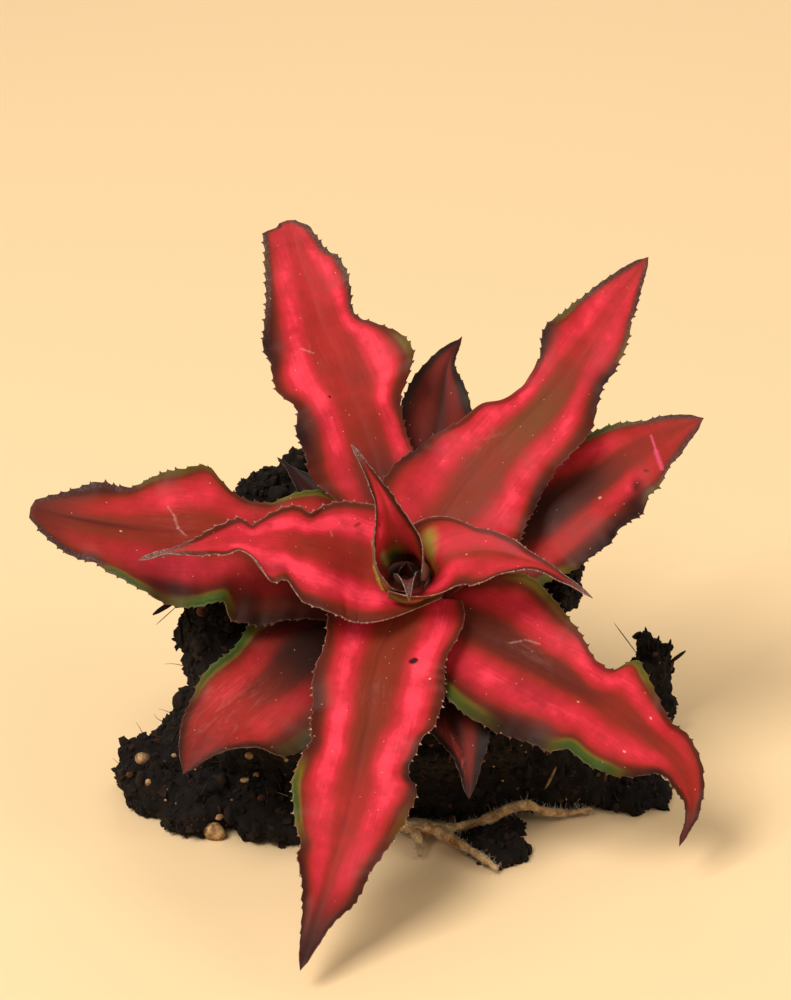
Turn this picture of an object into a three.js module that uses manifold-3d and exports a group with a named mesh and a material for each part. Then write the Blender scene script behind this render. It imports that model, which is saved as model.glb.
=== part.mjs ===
// Earth star bromeliad (Cryptanthus), lifted from its pot and set down on its
// own root ball. Millimetres, +Z up, front towards -Y. The origin is the
// middle of the root ball's flat underside.
//
// The rosette leans forward, so its leaves are laid out in a frame of their
// own: x across, y uphill along the rosette's plane, h along its axis. Each
// leaf is one closed blade: a mid-rib route, a half width on each side, how
// far its sides roll up, how its margins wave, and a row of teeth.
import * as THREE from "three";
import { mergeVertices } from "three/addons/utils/BufferGeometryUtils.js";
import Module from "manifold-3d";

const wasm = await Module();
wasm.setup();

const RAD = Math.PI / 180;

// ---- driving sizes -------------------------------------------------------
const LEAN = 35 * RAD; // the rosette's axis from the vertical
const CROWN = new THREE.Vector3(0, -15, 62); // middle of the rosette's cup
const BLADE_MIDDLE = 1.25; // blade thickness along the mid-rib
const BLADE_MARGIN = 0.65; // and at the margin
const TOOTH_PITCH = 3.7; // spacing of the marginal teeth
const TOOTH_LENGTH = 1.0;
const SEAT = 0.35; // clearance of a piece from what carries it
const STEM = { top: -7.2, bottom: -33, radiusTop: 3.2, radiusBottom: 4.6 };

// ---- rosette frame -------------------------------------------------------
const UPHILL = new THREE.Vector3(0, Math.cos(LEAN), Math.sin(LEAN));
const AXIS = new THREE.Vector3(0, -Math.sin(LEAN), Math.cos(LEAN));

function fromRosette(x, y, h) {
  return CROWN.clone()
    .addScaledVector(new THREE.Vector3(1, 0, 0), x)
    .addScaledVector(UPHILL, y)
    .addScaledVector(AXIS, h);
}

// Repeatable random draws between 0 and 1.
function drawsFrom(seed) {
  let state = seed >>> 0;
  return () => {
    state = (Math.imul(state, 1664525) + 1013904223) >>> 0;
    return state / 4294967296;
  };
}

// Smooth curve through rows of [position, value, ...]: the value in a column.
function through(rows, at, column = 1) {
  const last = rows.length - 1;
  if (at <= rows[0][0]) return rows[0][column];
  if (at >= rows[last][0]) return rows[last][column];
  let i = 0;
  while (at > rows[i + 1][0]) i += 1;
  const rate = (k) => (rows[k + 1][column] - rows[k][column]) / (rows[k + 1][0] - rows[k][0]);
  const slope = (k) => {
    if (k === 0) return rate(0);
    if (k === last) return rate(last - 1);
    const before = rows[k][0] - rows[k - 1][0];
    const after = rows[k + 1][0] - rows[k][0];
    return (rate(k - 1) * after + rate(k) * before) / (before + after);
  };
  const span = rows[i + 1][0] - rows[i][0];
  const t = (at - rows[i][0]) / span;
  const ease = t * t * (3 - 2 * t);
  return rows[i][column] * (1 - ease) + rows[i + 1][column] * ease
    + span * (slope(i) * t * (1 - t) ** 2 - slope(i + 1) * t * t * (1 - t));
}

// ---- the leaf blade ------------------------------------------------------
// A leaf's own numbers are mm in the rosette frame. route: the mid-rib, as
// [x, y, h]. left, right: [mm along the mid-rib, half width], left being the
// anticlockwise side seen from above. roll: [mm along, degrees left, right],
// how far each side has turned up by its margin. wave: the margins' rise and
// fall, as [height, wavelength, start left, start right].
function bladeOf(leaf) {
  const route = [];
  let run = 0;
  leaf.route.forEach((p, i) => {
    if (i > 0) run += Math.hypot(...p.map((value, k) => value - leaf.route[i - 1][k]));
    route.push([run, ...p]);
  });
  const length = run;
  const middle = (s) => new THREE.Vector3(...[1, 2, 3].map((column) => through(route, s, column)));

  // Point of the blade's middle surface: s along, f from -1 (right) to 1 (left).
  function surface(s, f) {
    const centre = middle(s);
    const ahead = middle(Math.min(s + 0.2, length)).sub(middle(Math.max(s - 0.2, 0))).normalize();
    const aside = new THREE.Vector3(-ahead.y, ahead.x, 0).normalize();
    const upward = new THREE.Vector3().crossVectors(ahead, aside);
    const side = Math.sign(f) || 1;
    const reach = Math.abs(f);
    const width = through(side > 0 ? leaf.left : leaf.right, s);
    const roll = Math.max(through(leaf.roll, s, side > 0 ? 1 : 2), 1) * RAD;
    const bend = width / roll;
    const [height, wavelength, startLeft, startRight] = leaf.wave;
    const start = side > 0 ? startLeft : startRight;
    const taper = Math.min(1, s / 14, (length - s) / 14);
    const wave = height * taper * reach ** 2 * Math.sin((2 * Math.PI * (s - start)) / wavelength);
    return centre
      .addScaledVector(aside, side * bend * Math.sin(roll * reach))
      .addScaledVector(upward, bend * (1 - Math.cos(roll * reach)) + wave);
  }

  function normal(s, f) {
    const along = surface(Math.min(s + 0.1, length), f).sub(surface(Math.max(s - 0.1, 0), f));
    const across = surface(s, Math.min(f + 0.02, 1)).sub(surface(s, Math.max(f - 0.02, -1)));
    return along.cross(across).normalize();
  }

  return { length, surface, normal };
}

// Between two stations, each margin has one tooth.
const TOOTH_BASE = 0.62; // where a tooth leaves the margin, as a share of the pitch
const TOOTH_TIP = 0.9; // it hooks towards the leaf's tip

function leafMesh(leaf) {
  const { length, surface, normal } = bladeOf(leaf);
  const draw = drawsFrom(leaf.seed);
  const thick = leaf.thick ?? BLADE_MIDDLE;
  const stations = Math.max(6, Math.round(length / (leaf.pitch ?? TOOTH_PITCH)));
  const half = leaf.columns ?? 2; // columns on each side of the mid-rib
  const across = Array.from({ length: 2 * half + 1 }, (_, c) => c / half - 1);
  const top = [];
  const bottom = [];

  function addPoint(s, f, outward = 0) {
    const point = surface(s, f);
    if (outward > 0) {
      const edge = surface(s, f).sub(surface(s, f * 0.96)).normalize();
      point.addScaledVector(edge, outward);
    }
    const rib = BLADE_MARGIN + (thick - BLADE_MARGIN) * Math.min(1, (length - s) / 12);
    const thickness = rib + (BLADE_MARGIN - rib) * Math.abs(f);
    const lift = normal(s, f).multiplyScalar(thickness / 2);
    top.push(point.clone().add(lift));
    bottom.push(point.sub(lift));
    return top.length - 1;
  }

  const grid = [];
  const teeth = [];
  for (let i = 0; i <= stations; i += 1) {
    const s = (length * i) / stations;
    grid.push(across.map((f) => addPoint(s, f)));
    if (i === stations) break;
    const step = length / stations;
    const size = TOOTH_LENGTH * Math.max(0.15, Math.min(1, (s + 6) / 25, (length - s - 4) / 20));
    teeth.push([-1, 1].map((side) => [
      addPoint(s + TOOTH_BASE * step, side),
      addPoint(s + TOOTH_TIP * step, side, size * (0.8 + 0.4 * draw())),
    ]));
  }

  const faces = [];
  for (let i = 0; i < stations; i += 1) {
    const column = across.map((_, c) => [grid[i][c], grid[i + 1][c]]);
    const [r, inR, inL, l] = [column[0], column[1], column.at(-2), column.at(-1)];
    const [[baseR, tipR], [baseL, tipL]] = teeth[i];
    for (let c = 1; c < 2 * half - 1; c += 1) {
      const [a, b] = [column[c], column[c + 1]];
      faces.push([a[0], a[1], b[1]], [a[0], b[1], b[0]]);
    }
    faces.push([inR[0], r[0], baseR], [inR[0], baseR, inR[1]]);
    faces.push([baseR, r[1], inR[1]], [baseR, tipR, r[1]]);
    faces.push([inL[0], baseL, l[0]], [inL[0], inL[1], baseL]);
    faces.push([baseL, inL[1], l[1]], [baseL, l[1], tipL]);
  }

  // The rim, anticlockwise seen from above: right margin, tip, left margin, base.
  const rim = [];
  for (let i = 0; i < stations; i += 1) rim.push(grid[i][0], ...teeth[i][0]);
  rim.push(...grid[stations]);
  for (let i = stations - 1; i >= 0; i -= 1) rim.push(teeth[i][1][1], teeth[i][1][0], grid[i].at(-1));
  rim.push(...grid[0].slice(1, -1).reverse());

  const points = [...top, ...bottom].map((p) => fromRosette(p.x, p.y, p.z));
  const under = top.length;
  const triangles = [];
  for (const [a, b, c] of faces) triangles.push([a, b, c], [a + under, c + under, b + under]);
  rim.forEach((p, k) => {
    const q = rim[(k + 1) % rim.length];
    triangles.push([p + under, q + under, q], [p + under, q, p]);
  });
  return { points, triangles };
}

// ---- the leaves, from the oldest, lowest ones to the heart -----------------
const RED = 0xb3303a;
const MAROON = 0x7a2c2c;
const SHRIVELLED = 0x3b1a1a;

const LEAVES = [
  {
    name: "leaf_old_back_left", seed: 11, color: SHRIVELLED,
    route: [[-3, 3.8, -17], [-15, 22, -14], [-25, 33, -12], [-29.5, 37, -11]],
    left: [[0, 5], [13.5, 6.5], [26.5, 6], [33.5, 3], [40, 0.4]],
    right: [[0, 5], [13.5, 6.5], [26.5, 3.6], [33.5, 2], [40, 0.4]],
    roll: [[0, 15, 15], [39.5, 30, 30]],
    wave: [0.4, 13, 0, 5],
  },
  {
    name: "leaf_old_front", seed: 12, color: MAROON,
    route: [[1, -4.6, -16], [7.5, -19, -14], [12.5, -36.5, -13], [14, -48.5, -13]],
    left: [[0, 6], [12, 8.6], [25, 8.8], [31, 7.2], [38, 3.8], [46.5, 0.4]],
    right: [[0, 6], [14, 8], [22, 6.8], [28, 6], [32, 4], [36, 2.4], [46.5, 0.4]],
    roll: [[0, 12, 12], [46, 25, 25]],
    wave: [0.5, 15, 0, 6],
  },
  {
    name: "leaf_lower_left", seed: 13, color: RED,
    route: [[-3.9, -2.6, -14.5], [-19.5, -10.5, -12.2], [-32, -22, -10.8], [-42, -32.5, -10.5],
      [-48.5, -43.5, -11]],
    left: [[0, 8], [15, 15], [29, 19.8], [38, 18], [44, 15], [47, 11.7], [50, 8.8], [53, 5.6],
      [57, 2.6], [62, 0.4]],
    right: [[0, 8], [13, 9.2], [21, 11.9], [25, 12.8], [29, 11.6], [32, 10.5], [44, 9.5], [48, 8],
      [54, 5.4], [58, 3.2], [62, 0.4]],
    roll: [[0, 10, 10], [32, 12, 14], [62, 20, 20]],
    wave: [1.0, 21, 4, 12],
  },
  {
    name: "leaf_back", seed: 14, color: MAROON,
    route: [[0.9, 4.6, -15], [5.5, 28, -11.6], [8.5, 50.5, -8], [10, 59.5, -6.8], [13.5, 67, -6]],
    left: [[0, 6], [14, 9], [32, 10], [40, 9.4], [46, 8.3], [52, 6.8], [55, 5], [59, 2.9], [63.5, 0.4]],
    right: [[0, 6], [14, 7], [34, 9], [42, 8.8], [46, 7], [50, 5.2], [53, 3.4], [57, 1.5], [63.5, 0.4]],
    roll: [[0, 10, 3], [30, 12, 5], [63, 22, 22]],
    wave: [0.8, 19, 2, 9],
  },
  {
    name: "leaf_right", seed: 15, color: RED,
    route: [[4, 2.4, -12.8], [19, 13, -10.4], [36, 24.5, -5.5], [51, 34, -3], [68.5, 41.5, -1]],
    left: [[0, 8], [14.5, 12], [31.5, 11.5], [41.5, 9.7], [50.5, 7.8], [62.5, 5.6], [70.5, 3.4], [77, 0.4]],
    right: [[0, 8], [12.5, 12], [22.5, 15.3], [47.5, 15.6], [52.5, 14.2], [55, 12.4], [59.5, 12], [63.5, 9.6],
      [67.5, 6.9], [72.5, 3.4], [77, 0.4]],
    roll: [[0, 12, 3], [26, 14, 4], [42.5, 14, 12], [76.5, 18, 18]],
    wave: [1.0, 23, 3, 14],
  },
  {
    name: "leaf_lower_right", seed: 16, color: RED,
    route: [[3.8, -2.2, -11], [15, -9.5, -9.5], [28, -18, -8], [42, -26, -9.3], [54.5, -33.5, -14.5],
      [61.5, -39, -20], [63.5, -46, -24.5], [60.5, -54, -26]],
    left: [[0, 8], [11, 14], [18, 17.8], [24, 16.3], [35, 10.9], [42, 7.2], [45, 8], [48.5, 13],
      [52, 11.2], [56, 8], [60, 5.6], [67, 6], [71, 5], [75, 3.4], [80, 1.5], [88.5, 0.4]],
    right: [[0, 8], [11, 14], [20, 18.3], [28, 18.6], [38, 16.4], [43, 16.4], [46, 14.8], [49, 15.2],
      [54, 14.2], [59, 11.8], [64, 6.8], [72, 4], [77, 1.8], [88.5, 0.4]],
    roll: [[0, 14, 10], [11, 19, 10], [24, 17, 10], [42, 14, 12], [88, 30, 30]],
    wave: [1.1, 24, 6, 15],
  },
  {
    name: "leaf_left", seed: 17, color: RED,
    route: [[-4.2, 1.4, -11.3], [-23.5, 9.5, -7], [-42.5, 12.5, -3.8], [-59, 12.5, -1.8],
      [-76, 14.8, 0], [-84, 16.7, 1]],
    left: [[0, 9], [15, 16], [25, 20.3], [29, 20.9], [34, 19.8], [36.5, 17.6], [40, 19], [46, 19.8],
      [51, 18.2], [57, 16.1], [63, 12.4], [66.5, 9.8], [72, 9.1], [77, 6.5], [81, 3.6], [84, 0.4]],
    right: [[0, 9], [15, 15], [21, 16], [26, 13.2], [30, 10.2], [33, 9.5], [37, 10.6], [40.5, 12.6],
      [43.5, 15.6], [48, 14.6], [57, 13], [61, 10.2], [69, 9], [74, 6.8], [78, 3.8], [84, 0.4]],
    roll: [[0, 8, 4], [26, 10, 5], [43, 12, 14], [84, 20, 20]],
    wave: [1.2, 24, 8, 17],
  },
  {
    name: "leaf_front", seed: 18, color: RED,
    route: [[-1, -1.6, -6.3], [-2, -8, -6.2], [-6, -18, -5.2], [-9, -37, -4], [-12.5, -55.5, -3.6],
      [-17, -73, -4], [-22, -91.5, -4.8]],
    left: [[0, 13.6], [5, 15], [11, 16], [18, 16.2], [28, 15.5], [35, 13.8], [40, 11.9], [44, 11.3],
      [48, 14.1], [53, 14.4], [59, 12.6], [69, 8.4], [76, 6.6], [81, 4], [87, 2], [92.9, 0.4]],
    right: [[0, 11], [8, 14], [16, 12.3], [24, 13.2], [37, 11.4], [42, 10.7], [44.5, 12.1],
      [52, 12.3], [57, 11.2], [62, 9.2], [65, 7.2], [70, 6.8], [75, 4.5], [84, 2.2], [92.9, 0.4]],
    roll: [[0, 10, 10], [40, 14, 14], [88, 22, 22]],
    wave: [1.1, 25, 7, 14],
  },
  {
    name: "leaf_upper_left", seed: 19, color: RED,
    route: [[-1.2, 4, -10], [-4, 15, -7.4], [-7.5, 32, -3], [-14.5, 50, 1.5], [-22.5, 72, 6],
      [-27.5, 89.5, 9]],
    left: [[0, 8], [14.5, 8], [21.5, 11], [27.5, 14.5], [35.5, 14.5], [43.5, 13], [46, 11.8], [50.5, 14.6],
      [58.5, 14], [65.5, 12.8], [73.5, 9.8], [83.5, 7.3], [89, 5.2], [91, 3], [91.7, 0.4]],
    right: [[0, 8], [21.5, 9.3], [36.5, 9.8], [40.5, 11], [46, 15.5], [50, 17.3], [54.5, 16.6], [58.5, 13.6],
      [62, 9.6], [65.5, 8.2], [69.5, 9], [76.5, 10.3], [81.5, 8], [86.5, 5.2], [90.5, 3], [91.7, 0.4]],
    roll: [[0, 12, 2], [20, 18, 3], [34, 16, 8], [46, 14, 16], [91.5, 16, 16]],
    wave: [1.2, 26, 5, 16],
  },
  {
    name: "leaf_upper_right", seed: 20, color: RED,
    route: [[2.4, 3.2, -8], [10, 19.5, -3.6], [21, 33, 0.5], [32, 44, 3.5], [44, 60, 7], [56.5, 78.5, 10]],
    left: [[0, 9], [11, 14.5], [18, 15.5], [25, 14], [31, 12.3], [36.5, 9.6], [41, 9], [44.5, 6.7],
      [50, 5.8], [60, 7], [66.5, 9.4], [72, 8.3], [78, 7.5], [85, 5], [95.5, 0.4]],
    right: [[0, 9], [11, 16], [17, 18], [26, 17.5], [34, 15], [44, 15], [50, 14], [57, 10.8],
      [62, 9.2], [67, 9.3], [74, 7.8], [80, 5.3], [88, 2.6], [95.5, 0.4]],
    roll: [[0, 16, 6], [20, 20, 8], [34, 16, 14], [95, 20, 20]],
    wave: [1.1, 26, 9, 15],
  },
  {
    name: "leaf_inner_left", seed: 21, color: RED,
    route: [[9, -0.5, -4.5], [-4, 3, -4.4], [-9, 4.2, -3.9], [-13, 4.8, -1.3], [-18, 5, 2.2],
      [-26, 5, 5.8], [-38.5, 3.3, 9.6], [-51, 0, 10.6], [-58.5, -2.3, 10.9]],
    left: [[0, 3], [4, 5.4], [6.5, 9.2], [9, 12.2], [13, 16.5], [18.5, 17.9], [23.5, 17.2], [29.5, 16.3],
      [34, 14], [38, 12], [40, 10.8], [44, 10.2], [47, 8.6], [49.5, 5], [53, 4.2], [58, 3], [64, 1.2],
      [72.6, 0.35]],
    right: [[0, 6], [9, 12], [17, 15], [23, 14], [28, 12], [31, 9.8], [34, 7.4], [37, 8.4],
      [41, 7], [44, 5], [46, 3.6], [48.5, 4.8], [52, 3.8], [58, 1.9], [72.6, 0.35]],
    roll: [[0, 10, 18], [4, 17, 22], [6.5, 26, 24], [9, 34, 26], [13, 40, 26], [18.5, 31, 25], [23.5, 25, 24],
      [30, 22, 24], [48, 35, 35], [72, 50, 50]],
    wave: [0.6, 19, 5, 11],
    pitch: 3.3,
    columns: 3,
  },
  {
    name: "leaf_inner_right", seed: 22, color: RED,
    route: [[6.4, 0.1, -2.3], [7.1, 0.15, 0.8], [9.6, 1.7, 3.8], [14.5, 2.6, 5.5], [20, 1.8, 7],
      [25, 0, 7.8], [30.7, -2.7, 8.5], [36, -6.6, 8.6], [41, -10.2, 8]],
    left: [[0, 8], [4, 10], [7.5, 9.8], [12.5, 6.8], [16.5, 5.3], [20.5, 3.8], [24.5, 2.4], [32.5, 1],
      [42.2, 0.35]],
    right: [[0, 14.5], [1.5, 14.2], [3, 12.8], [4.5, 11.4], [7.5, 10.5], [13, 9.8], [18, 8], [20.5, 5.4],
      [26, 3.2], [30.5, 2], [42.2, 0.35]],
    roll: [[0, 58, 127], [1.5, 56, 125], [3, 50, 112], [4.5, 44, 80], [7.5, 34, 36], [12.5, 26, 27],
      [22, 35, 35], [42, 60, 60]],
    wave: [0.4, 15, 4, 9],
    pitch: 2.9,
    columns: 4,
    thick: 0.9,
  },
  {
    name: "leaf_heart_tall", seed: 23, color: RED,
    route: [[-2.5, 4.3, -1.9], [-2.65, 4.6, 3], [-3.4, 6.8, 9], [-4.4, 9, 14.5], [-6.5, 12.2, 19],
      [-9, 15.4, 22.2], [-11.8, 19.5, 24]],
    left: [[0, 11.9], [4, 11], [7, 9.6], [12, 7.4], [16, 4.7], [22, 2.2], [27, 1], [34.5, 0.35]],
    right: [[0, 12.9], [5, 12], [9, 9.3], [12, 6.6], [16, 3.6], [22, 1.8], [27, 0.9], [34.5, 0.35]],
    roll: [[0, 138, 150], [4, 124, 142], [7, 102, 115], [12, 82, 76], [16, 65, 55], [22, 50, 50],
      [34, 40, 40]],
    wave: [0, 10, 0, 0],
    pitch: 2.6,
    columns: 4,
    thick: 0.8,
  },
  {
    name: "leaf_heart_front", seed: 24, color: MAROON,
    route: [[0.4, -2.9, -1.2], [0.4, -3.1, 1.6], [0.45, -3.6, 4], [0.6, -5.2, 5.5], [0.8, -7.2, 5.3],
      [0.9, -9, 4.2]],
    left: [[0, 3.2], [3.5, 3.6], [6, 2.4], [8, 1.2], [11.6, 0.35]],
    right: [[0, 3.2], [3.5, 3.6], [6, 2.4], [8, 1.2], [11.6, 0.35]],
    roll: [[0, 70, 70], [4, 75, 75], [11, 50, 50]],
    wave: [0, 10, 0, 0],
    pitch: 1.8,
    thick: 0.7,
  },
  {
    name: "leaf_heart_back", seed: 25, color: MAROON,
    route: [[0.3, 0.6, -1.2], [0.34, 0.8, 1.6], [0.4, 1.1, 4.4]],
    left: [[0, 2], [2.6, 1.7], [5.7, 0.35]],
    right: [[0, 2], [2.6, 1.7], [5.7, 0.35]],
    roll: [[0, 70, 70], [5, 50, 50]],
    wave: [0, 10, 0, 0],
    pitch: 1.8,
    thick: 0.7,
  },
];

// ---- solids for the joins and cuts -----------------------------------------
function solidOf({ points, triangles }) {
  const mesh = new wasm.Mesh({
    numProp: 3,
    vertProperties: Float32Array.from(points.flatMap((p) => [p.x, p.y, p.z])),
    triVerts: Uint32Array.from(triangles.flat()),
  });
  return new wasm.Manifold(mesh);
}

// The shared corners and the triangles of a closed three.js geometry.
function shellOf(geometry) {
  geometry.deleteAttribute("normal");
  geometry.deleteAttribute("uv");
  const merged = mergeVertices(geometry);
  const at = merged.getAttribute("position");
  const index = merged.getIndex().array;
  const points = Array.from({ length: at.count }, (_, i) => new THREE.Vector3().fromBufferAttribute(at, i));
  const triangles = [];
  for (let i = 0; i < index.length; i += 3) triangles.push([...index.slice(i, i + 3)]);
  return { points, triangles };
}

function meshOfSolid(solid) {
  const { numProp, vertProperties, triVerts } = solid.getMesh();
  const points = [];
  for (let i = 0; i < vertProperties.length; i += numProp) {
    points.push(new THREE.Vector3(vertProperties[i], vertProperties[i + 1], vertProperties[i + 2]));
  }
  const triangles = [];
  for (let i = 0; i < triVerts.length; i += 3) triangles.push([...triVerts.slice(i, i + 3)]);
  return { points, triangles };
}

// A round tube through points, closed by a flat disc at each end.
function tube(points, radiusAt, sides, stride = 3) {
  const curve = new THREE.CatmullRomCurve3(points, false, "centripetal");
  const steps = Math.max(2, Math.round(curve.getLength() / stride));
  const { normals, binormals } = curve.computeFrenetFrames(steps, false);
  const out = [];
  const triangles = [];
  for (let i = 0; i <= steps; i += 1) {
    const centre = curve.getPointAt(i / steps);
    for (let k = 0; k < sides; k += 1) {
      const angle = (2 * Math.PI * k) / sides;
      out.push(centre.clone()
        .addScaledVector(normals[i], radiusAt(i / steps) * Math.cos(angle))
        .addScaledVector(binormals[i], radiusAt(i / steps) * Math.sin(angle)));
    }
  }
  for (let i = 0; i < steps; i += 1) {
    for (let k = 0; k < sides; k += 1) {
      const [a, b] = [i * sides + k, i * sides + ((k + 1) % sides)];
      triangles.push([a, b, b + sides], [a, b + sides, a + sides]);
    }
  }
  for (let k = 1; k < sides - 1; k += 1) {
    const end = steps * sides;
    triangles.push([0, k + 1, k], [end, end + k, end + k + 1]);
  }
  return { points: out, triangles };
}

// ---- the short stem --------------------------------------------------------
function stemTube(grow) {
  const { top, bottom, radiusTop, radiusBottom } = STEM;
  const ends = [fromRosette(0, 0, bottom - grow), fromRosette(0, 0, top)];
  return tube(ends, (t) => radiusBottom + (radiusTop - radiusBottom) * t + grow, 14, 9);
}

// ---- the root ball -----------------------------------------------------------
// Rings of potting soil, stacked from the flat underside to the rim, which
// leans with the plant: [centre y, z, lean in degrees, reach left, right,
// front, back].
const SOIL_RINGS = [
  [1, 0, 0, 60, 56, 18, 32],
  [0, 4, 0, 62, 58, 19, 36],
  [0, 10, 2, 58, 50, 20, 38],
  [-2, 18, 8, 53, 38, 22, 41],
  [-5, 28, 18, 50, 33, 25, 45],
  [-6, 37, 28, 50, 33, 29, 49],
  [-6, 45, 36, 49, 36, 32, 50],
  [-5, 48, 36, 44, 35, 28, 46],
  [-4, 46, 35, 22, 21, 18, 22],
];
const SOIL_SIDES = 56;
// Loose clods that the heap has gathered: [x, y, z, radius across, height].
const CLODS = [
  [47, 20, 3, 13, 6],
  [58.5, 25, 8, 6.5, 8],
  [59, 26, 16.5, 5, 6.5],
  [57.5, 27, 22.5, 3.2, 3.5],
  [61.5, 26, 19.5, 3, 4],
  [52, -4, 1, 11, 5],
  [-57, -9, 5, 9, 7],
  [-46, -15, 4, 11, 8],
  [-58, 1, 4, 8.5, 7],
  [-30, -18, 4, 12, 8],
  [-12, -17, 3, 11, 7],
  [21, -31, 0, 7.5, 6],
  [19, -20, 0, 9, 4.5],
  [-48, 0, 38, 5, 7],
  [-51, -1, 47.5, 4.5, 1.4],
  [-36, 21, 64.5, 4, 4.5],
  [-31, 25, 67.5, 4.5, 4.5],
  [-25, 28, 69.5, 4.2, 3.8],
  [-18, 31, 71, 4, 4],
  [36.5, 6, 53, 5, 4.5],
  [36, 0, 50, 4.5, 4],
];

// Crumbly relief: a sum of slanted waves with seeded directions.
const crumbDraw = drawsFrom(77);
const CRUMBS = Array.from({ length: 9 }, (_, k) => {
  const wavelength = 26 / (1 + 0.62 * k);
  const turn = 2 * Math.PI * crumbDraw();
  const tip = Math.acos(2 * crumbDraw() - 1);
  return {
    direction: new THREE.Vector3().setFromSphericalCoords(1, tip, turn).multiplyScalar((2 * Math.PI) / wavelength),
    phase: 2 * Math.PI * crumbDraw(),
    height: wavelength * 0.042,
  };
});

function crumble(p) {
  const waves = CRUMBS.reduce((sum, c) => sum + c.height * Math.sin(c.direction.dot(p) + c.phase), 0);
  return waves + 1.1 * (crumbDraw() - 0.5);
}

function soilHeap() {
  const points = [];
  const triangles = [];
  const rows = SOIL_RINGS.length;
  const steps = 3; // rows of facets from one ring to the next
  const rings = (rows - 1) * steps;
  const table = SOIL_RINGS.map((ring, i) => [i, ...ring]);
  for (let i = 0; i <= rings; i += 1) {
    const [y, z, lean, left, right, front, back] = [1, 2, 3, 4, 5, 6, 7].map((c) => through(table, i / steps, c));
    for (let k = 0; k < SOIL_SIDES; k += 1) {
      const angle = (2 * Math.PI * (k + (i % 2) / 2)) / SOIL_SIDES;
      const across = Math.cos(angle) * (Math.cos(angle) > 0 ? right : left);
      const along = Math.sin(angle) * (Math.sin(angle) > 0 ? back : front);
      const p = new THREE.Vector3(
        across,
        y + along * Math.cos(lean * RAD),
        z + along * Math.sin(lean * RAD),
      );
      const bulge = crumble(p) * Math.min(1, i / 2);
      const outward = new THREE.Vector3(p.x, p.y - y, 0.6 * (p.z - 18)).normalize();
      p.addScaledVector(outward, i === 0 ? crumble(p) : bulge);
      if (i === 0) p.z = 0;
      points.push(p);
    }
  }
  for (let i = 0; i < rings; i += 1) {
    for (let k = 0; k < SOIL_SIDES; k += 1) {
      const next = (k + 1) % SOIL_SIDES;
      const [a, b] = [i * SOIL_SIDES + k, i * SOIL_SIDES + next];
      const [c, d] = [a + SOIL_SIDES, b + SOIL_SIDES];
      if (i % 2 === 0) triangles.push([a, b, c], [b, d, c]);
      else triangles.push([a, b, d], [a, d, c]);
    }
  }
  const [foot, crown] = [points.length, points.length + 1];
  points.push(new THREE.Vector3(0, 0, 0), fromRosette(0, 0, -19.5));
  for (let k = 0; k < SOIL_SIDES; k += 1) {
    const next = (k + 1) % SOIL_SIDES;
    triangles.push([foot, next, k]);
    triangles.push([crown, rings * SOIL_SIDES + k, rings * SOIL_SIDES + next]);
  }
  return { points, triangles };
}

function clod([x, y, z, radius, height]) {
  const { points, triangles } = shellOf(new THREE.IcosahedronGeometry(1, radius > 8 ? 2 : 1));
  for (const p of points) {
    const outward = p.clone();
    p.set(x + p.x * radius, y + p.y * radius, z + p.z * height);
    p.addScaledVector(outward, crumble(p) * 0.5);
  }
  return { points, triangles };
}

// ---- the roots ---------------------------------------------------------------
// Woolly roots that hang out of the soil and lie along the ground:
// [x, y, z] points, radius where it leaves the soil, radius at the tip.
const ROOTS = [
  {
    name: "root_front",
    branches: [
      {
        points: [[-9, -15, 5], [-4, -22, 3.4], [3, -25.5, 3.1], [12.4, -25, 3.6], [18.3, -23.5, 4.7],
          [25, -21, 7.2], [28, -20, 7.5], [31.7, -19, 5.3], [35.3, -17, 3.6], [43, -14.5, 2.8]],
        radii: [1.3, 0.6],
      },
      {
        points: [[1, -25, 3.1], [7, -26.5, 3.1], [11.5, -31, 2.7], [15.3, -34.5, 2.5], [18.7, -38.5, 2],
          [20.5, -40.5, 1.6]],
        radii: [1.3, 0.5],
      },
      { points: [[2, -25.4, 3], [3, -29, 2.4], [3.4, -34, 1.1]], radii: [1.1, 0.6] },
    ],
  },
];

function rootSolid(root, grow) {
  return root.branches
    .map(({ points, radii }) => {
      const route = points.map((p) => new THREE.Vector3(...p));
      for (const [end, before] of [[route[0], route[1]], [route.at(-1), route.at(-2)]]) {
        end.addScaledVector(end.clone().sub(before).normalize(), grow);
      }
      return solidOf(tube(route, (t) => radii[0] + (radii[1] - radii[0]) * t + grow, 7));
    })
    .reduce((all, branch) => all.add(branch));
}

function rootBall() {
  let soil = solidOf(soilHeap());
  for (const lump of CLODS) soil = soil.add(solidOf(clod(lump)));
  const below = shellOf(new THREE.BoxGeometry(400, 400, 60).translate(0, 0, -30));
  soil = soil.subtract(solidOf(below)).subtract(solidOf(stemTube(SEAT)));
  for (const root of ROOTS) soil = soil.subtract(rootSolid(root, SEAT));
  const [whole] = soil.decompose().sort((a, b) => b.volume() - a.volume());
  return meshOfSolid(whole);
}

// ---- assembly ------------------------------------------------------------------
function addNode(group, name, { points, triangles }, color, roughness) {
  const geometry = new THREE.BufferGeometry();
  geometry.setAttribute("position", new THREE.Float32BufferAttribute(points.flatMap((p) => [p.x, p.y, p.z]), 3));
  geometry.setIndex(triangles.flat());
  geometry.computeVertexNormals();
  const mesh = new THREE.Mesh(geometry, new THREE.MeshStandardMaterial({ color, roughness, metalness: 0 }));
  mesh.name = name;
  group.add(mesh);
}

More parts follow.
